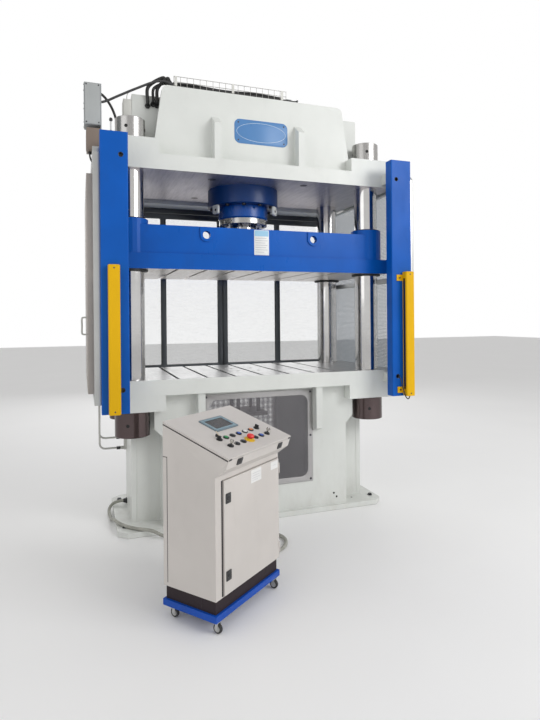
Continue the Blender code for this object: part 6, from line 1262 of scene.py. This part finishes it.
class PRESS_OT_controls(bpy.types.Operator):
    """Bezels, button tops, key rings, stop collar and screen glass of the operator panel"""
    bl_idname = "press.controls"
    bl_label = "Operator panel"

    def execute(self, context):
        black = MADE["control_black"]
        stop = CONTROLS["emergency_stop"]
        ring = lathe([(0.01225, 0.0046), (0.0128, 0.0056), (0.0158, 0.0056), (0.0172, 0.0044),
                      (0.0176, 0.0004), (0.0158, 0.0002)], 32)
        repeated("control_bezels", [place for name, place in CONTROLS.items() if name != "emergency_stop"],
                 ring, black, body=LID_PANEL)
        collar = lathe([(0.0128, 0.0004), (0.0128, 0.0092), (0.0150, 0.0088), (0.0165, 0.0030),
                        (0.0300, 0.0028), (0.0308, 0.0018), (0.0308, 0.0004)], 48, stop)
        show("stop_collar", collar, paint("stop_yellow", (0.80, 0.52, 0.01), 0.4, 0.03), 35, LID_PANEL)
        dome = lathe([(0, 0.0335), (0.008, 0.0330), (0.014, 0.0315), (0.0185, 0.0285), (0.0205, 0.0240),
                      (0.0205, 0.0175), (0.0190, 0.0158)], 48, stop)
        show("stop_dome", dome, MADE["stop_red"], 40, "emergency_stop_unit")
        button = [(0, 0.0080), (0.0085, 0.0083), (0.0105, 0.0081), (0.0115, 0.0076), (0.0115, 0.0066)]
        for name, place in CONTROLS.items():
            if name.startswith("button"):
                show(f"{name}_top", lathe(button, 32, place), NODES[name].data.materials[0], 40,
                     f"{name}_unit")
            block = boxes((-0.0118, -0.0118, -0.0388, 0.0118, 0.0118, -0.0150), place=place)
            show(f"{name}_contacts", block, black, 40, f"{name}_unit")
        nickel = steel("key_nickel", (0.62, 0.60, 0.55), 0.25, 9.0)
        for name in ("selector_key_left", "selector_key_right"):
            pose = CONTROLS[name] @ at(0.0, -0.0115, 0.026) @ turned(1.05, "X")
            circle = around(0, 0, 0.0125, 28)
            loop = tube([pose @ Vector((x, y, 0.0)) for x, y in circle + circle[:1]], 0.0011, 8, False)
            bow = boxes((-0.0014, -0.0085, 0.017, 0.0014, 0.0085, 0.0335, 0.0006), place=CONTROLS[name])
            show(f"{name}_ring", merged(loop, bow), nickel, 60, f"{name}_unit")
        ends = [CONTROLS["selector_lever"] @ Vector((0.0, *end)) for end in ((0.006, 0.020), (0.034, 0.034))]
        show("selector_lever_tip", rods((0.0032, *ends), sides=14),
             paint("lever_tan", (0.60, 0.52, 0.40), 0.4, 0.03), body="selector_lever_unit")

        def on_screen(edge, radius, steps):
            left, front = 0.190 - 0.30, 0.235 - LID_LENGTH
            return rounded(left + edge, left + 0.200 - edge, front + edge, front + 0.140 - edge, radius,
                           steps)

        show("screen_glass", outline([on_screen(0.0225, 0.002, 3)], 0.0142, 0.0149, LID),
             plastic("glass_dark", (0.042, 0.044, 0.050), 0.20, 0.0, 40.0, coat=0.2), body=LID_PANEL)
        rims = [on_screen(0.009, 0.005, 4), on_screen(0.0215, 0.003, 4)]
        show("screen_border", outline(rims, 0.0159, 0.0166, LID, 0.0002),
             plastic("screen_inlay", (0.20, 0.32, 0.38), 0.35, coat=0.3), body=LID_PANEL)
        return {"FINISHED"}


class PressLook(bpy.types.PropertyGroup):
    frame_colour: FloatVectorProperty(
        name="Frame colour", description="Paint of crown, table and base", subtype="COLOR", size=3,
        default=(0.745, 0.765, 0.735), min=0.0, max=1.0)
    blue_colour: FloatVectorProperty(
        name="Blue", description="Paint of slide and guard posts", subtype="COLOR", size=3,
        default=(0.0015, 0.104, 0.49), min=0.0, max=1.0)
    floor_colour: FloatVectorProperty(
        name="Floor", description="Colour of the studio floor", subtype="COLOR", size=3,
        default=(0.93, 0.93, 0.93), min=0.0, max=1.0)
    sky_strength: FloatProperty(
        name="Sky strength", description="Level of the light from all round", default=0.80, min=0.0, max=5.0)
    key_power: FloatProperty(
        name="Key power", description="Power of the main light", subtype="POWER", default=200.0, min=0.0)
    guard_pitch: FloatProperty(
        name="Guard mesh pitch", description="Wire spacing of the side guards", unit="LENGTH", default=0.0125,
        min=0.005, max=0.1)
    grille_pitch: FloatProperty(
        name="Base mesh pitch", description="Wire spacing of the base's covers", unit="LENGTH",
        default=0.0085, min=0.003, max=0.1)
    lens: FloatProperty(
        name="Lens", description="Focal length on a 36 mm sensor", default=26.75, min=5.0, max=200.0)


class PRESS_PT_panel(bpy.types.Panel):
    """Lists the press's looks and their operators"""
    bl_idname = "PRESS_PT_panel"
    bl_label = "Press"
    bl_space_type = "VIEW_3D"
    bl_region_type = "UI"
    bl_category = "Press"

    def draw(self, context):
        look = context.scene.press_look
        for field in ("frame_colour", "blue_colour", "floor_colour", "guard_pitch", "grille_pitch",
                      "sky_strength", "key_power", "lens"):
            self.layout.prop(look, field)
        for kind in OPERATORS:
            self.layout.operator(kind.bl_idname)


OPERATORS = (PRESS_OT_stage, PRESS_OT_conduit, PRESS_OT_dress, PRESS_OT_crown, PRESS_OT_slide, PRESS_OT_posts,
             PRESS_OT_guards, PRESS_OT_wiring, PRESS_OT_base, PRESS_OT_console, PRESS_OT_controls)
CLASSES = (PressLook, *OPERATORS, PRESS_PT_panel)


def register():
    for kind in CLASSES:
        bpy.utils.register_class(kind)
    bpy.types.Scene.press_look = PointerProperty(type=PressLook)


def unregister():
    del bpy.types.Scene.press_look
    for kind in reversed(CLASSES):
        bpy.utils.unregister_class(kind)


def main():
    register()
    for kind in OPERATORS:
        group, name = kind.bl_idname.split(".")
        getattr(getattr(bpy.ops, group), name)()


if __name__ == "__main__":
    main()
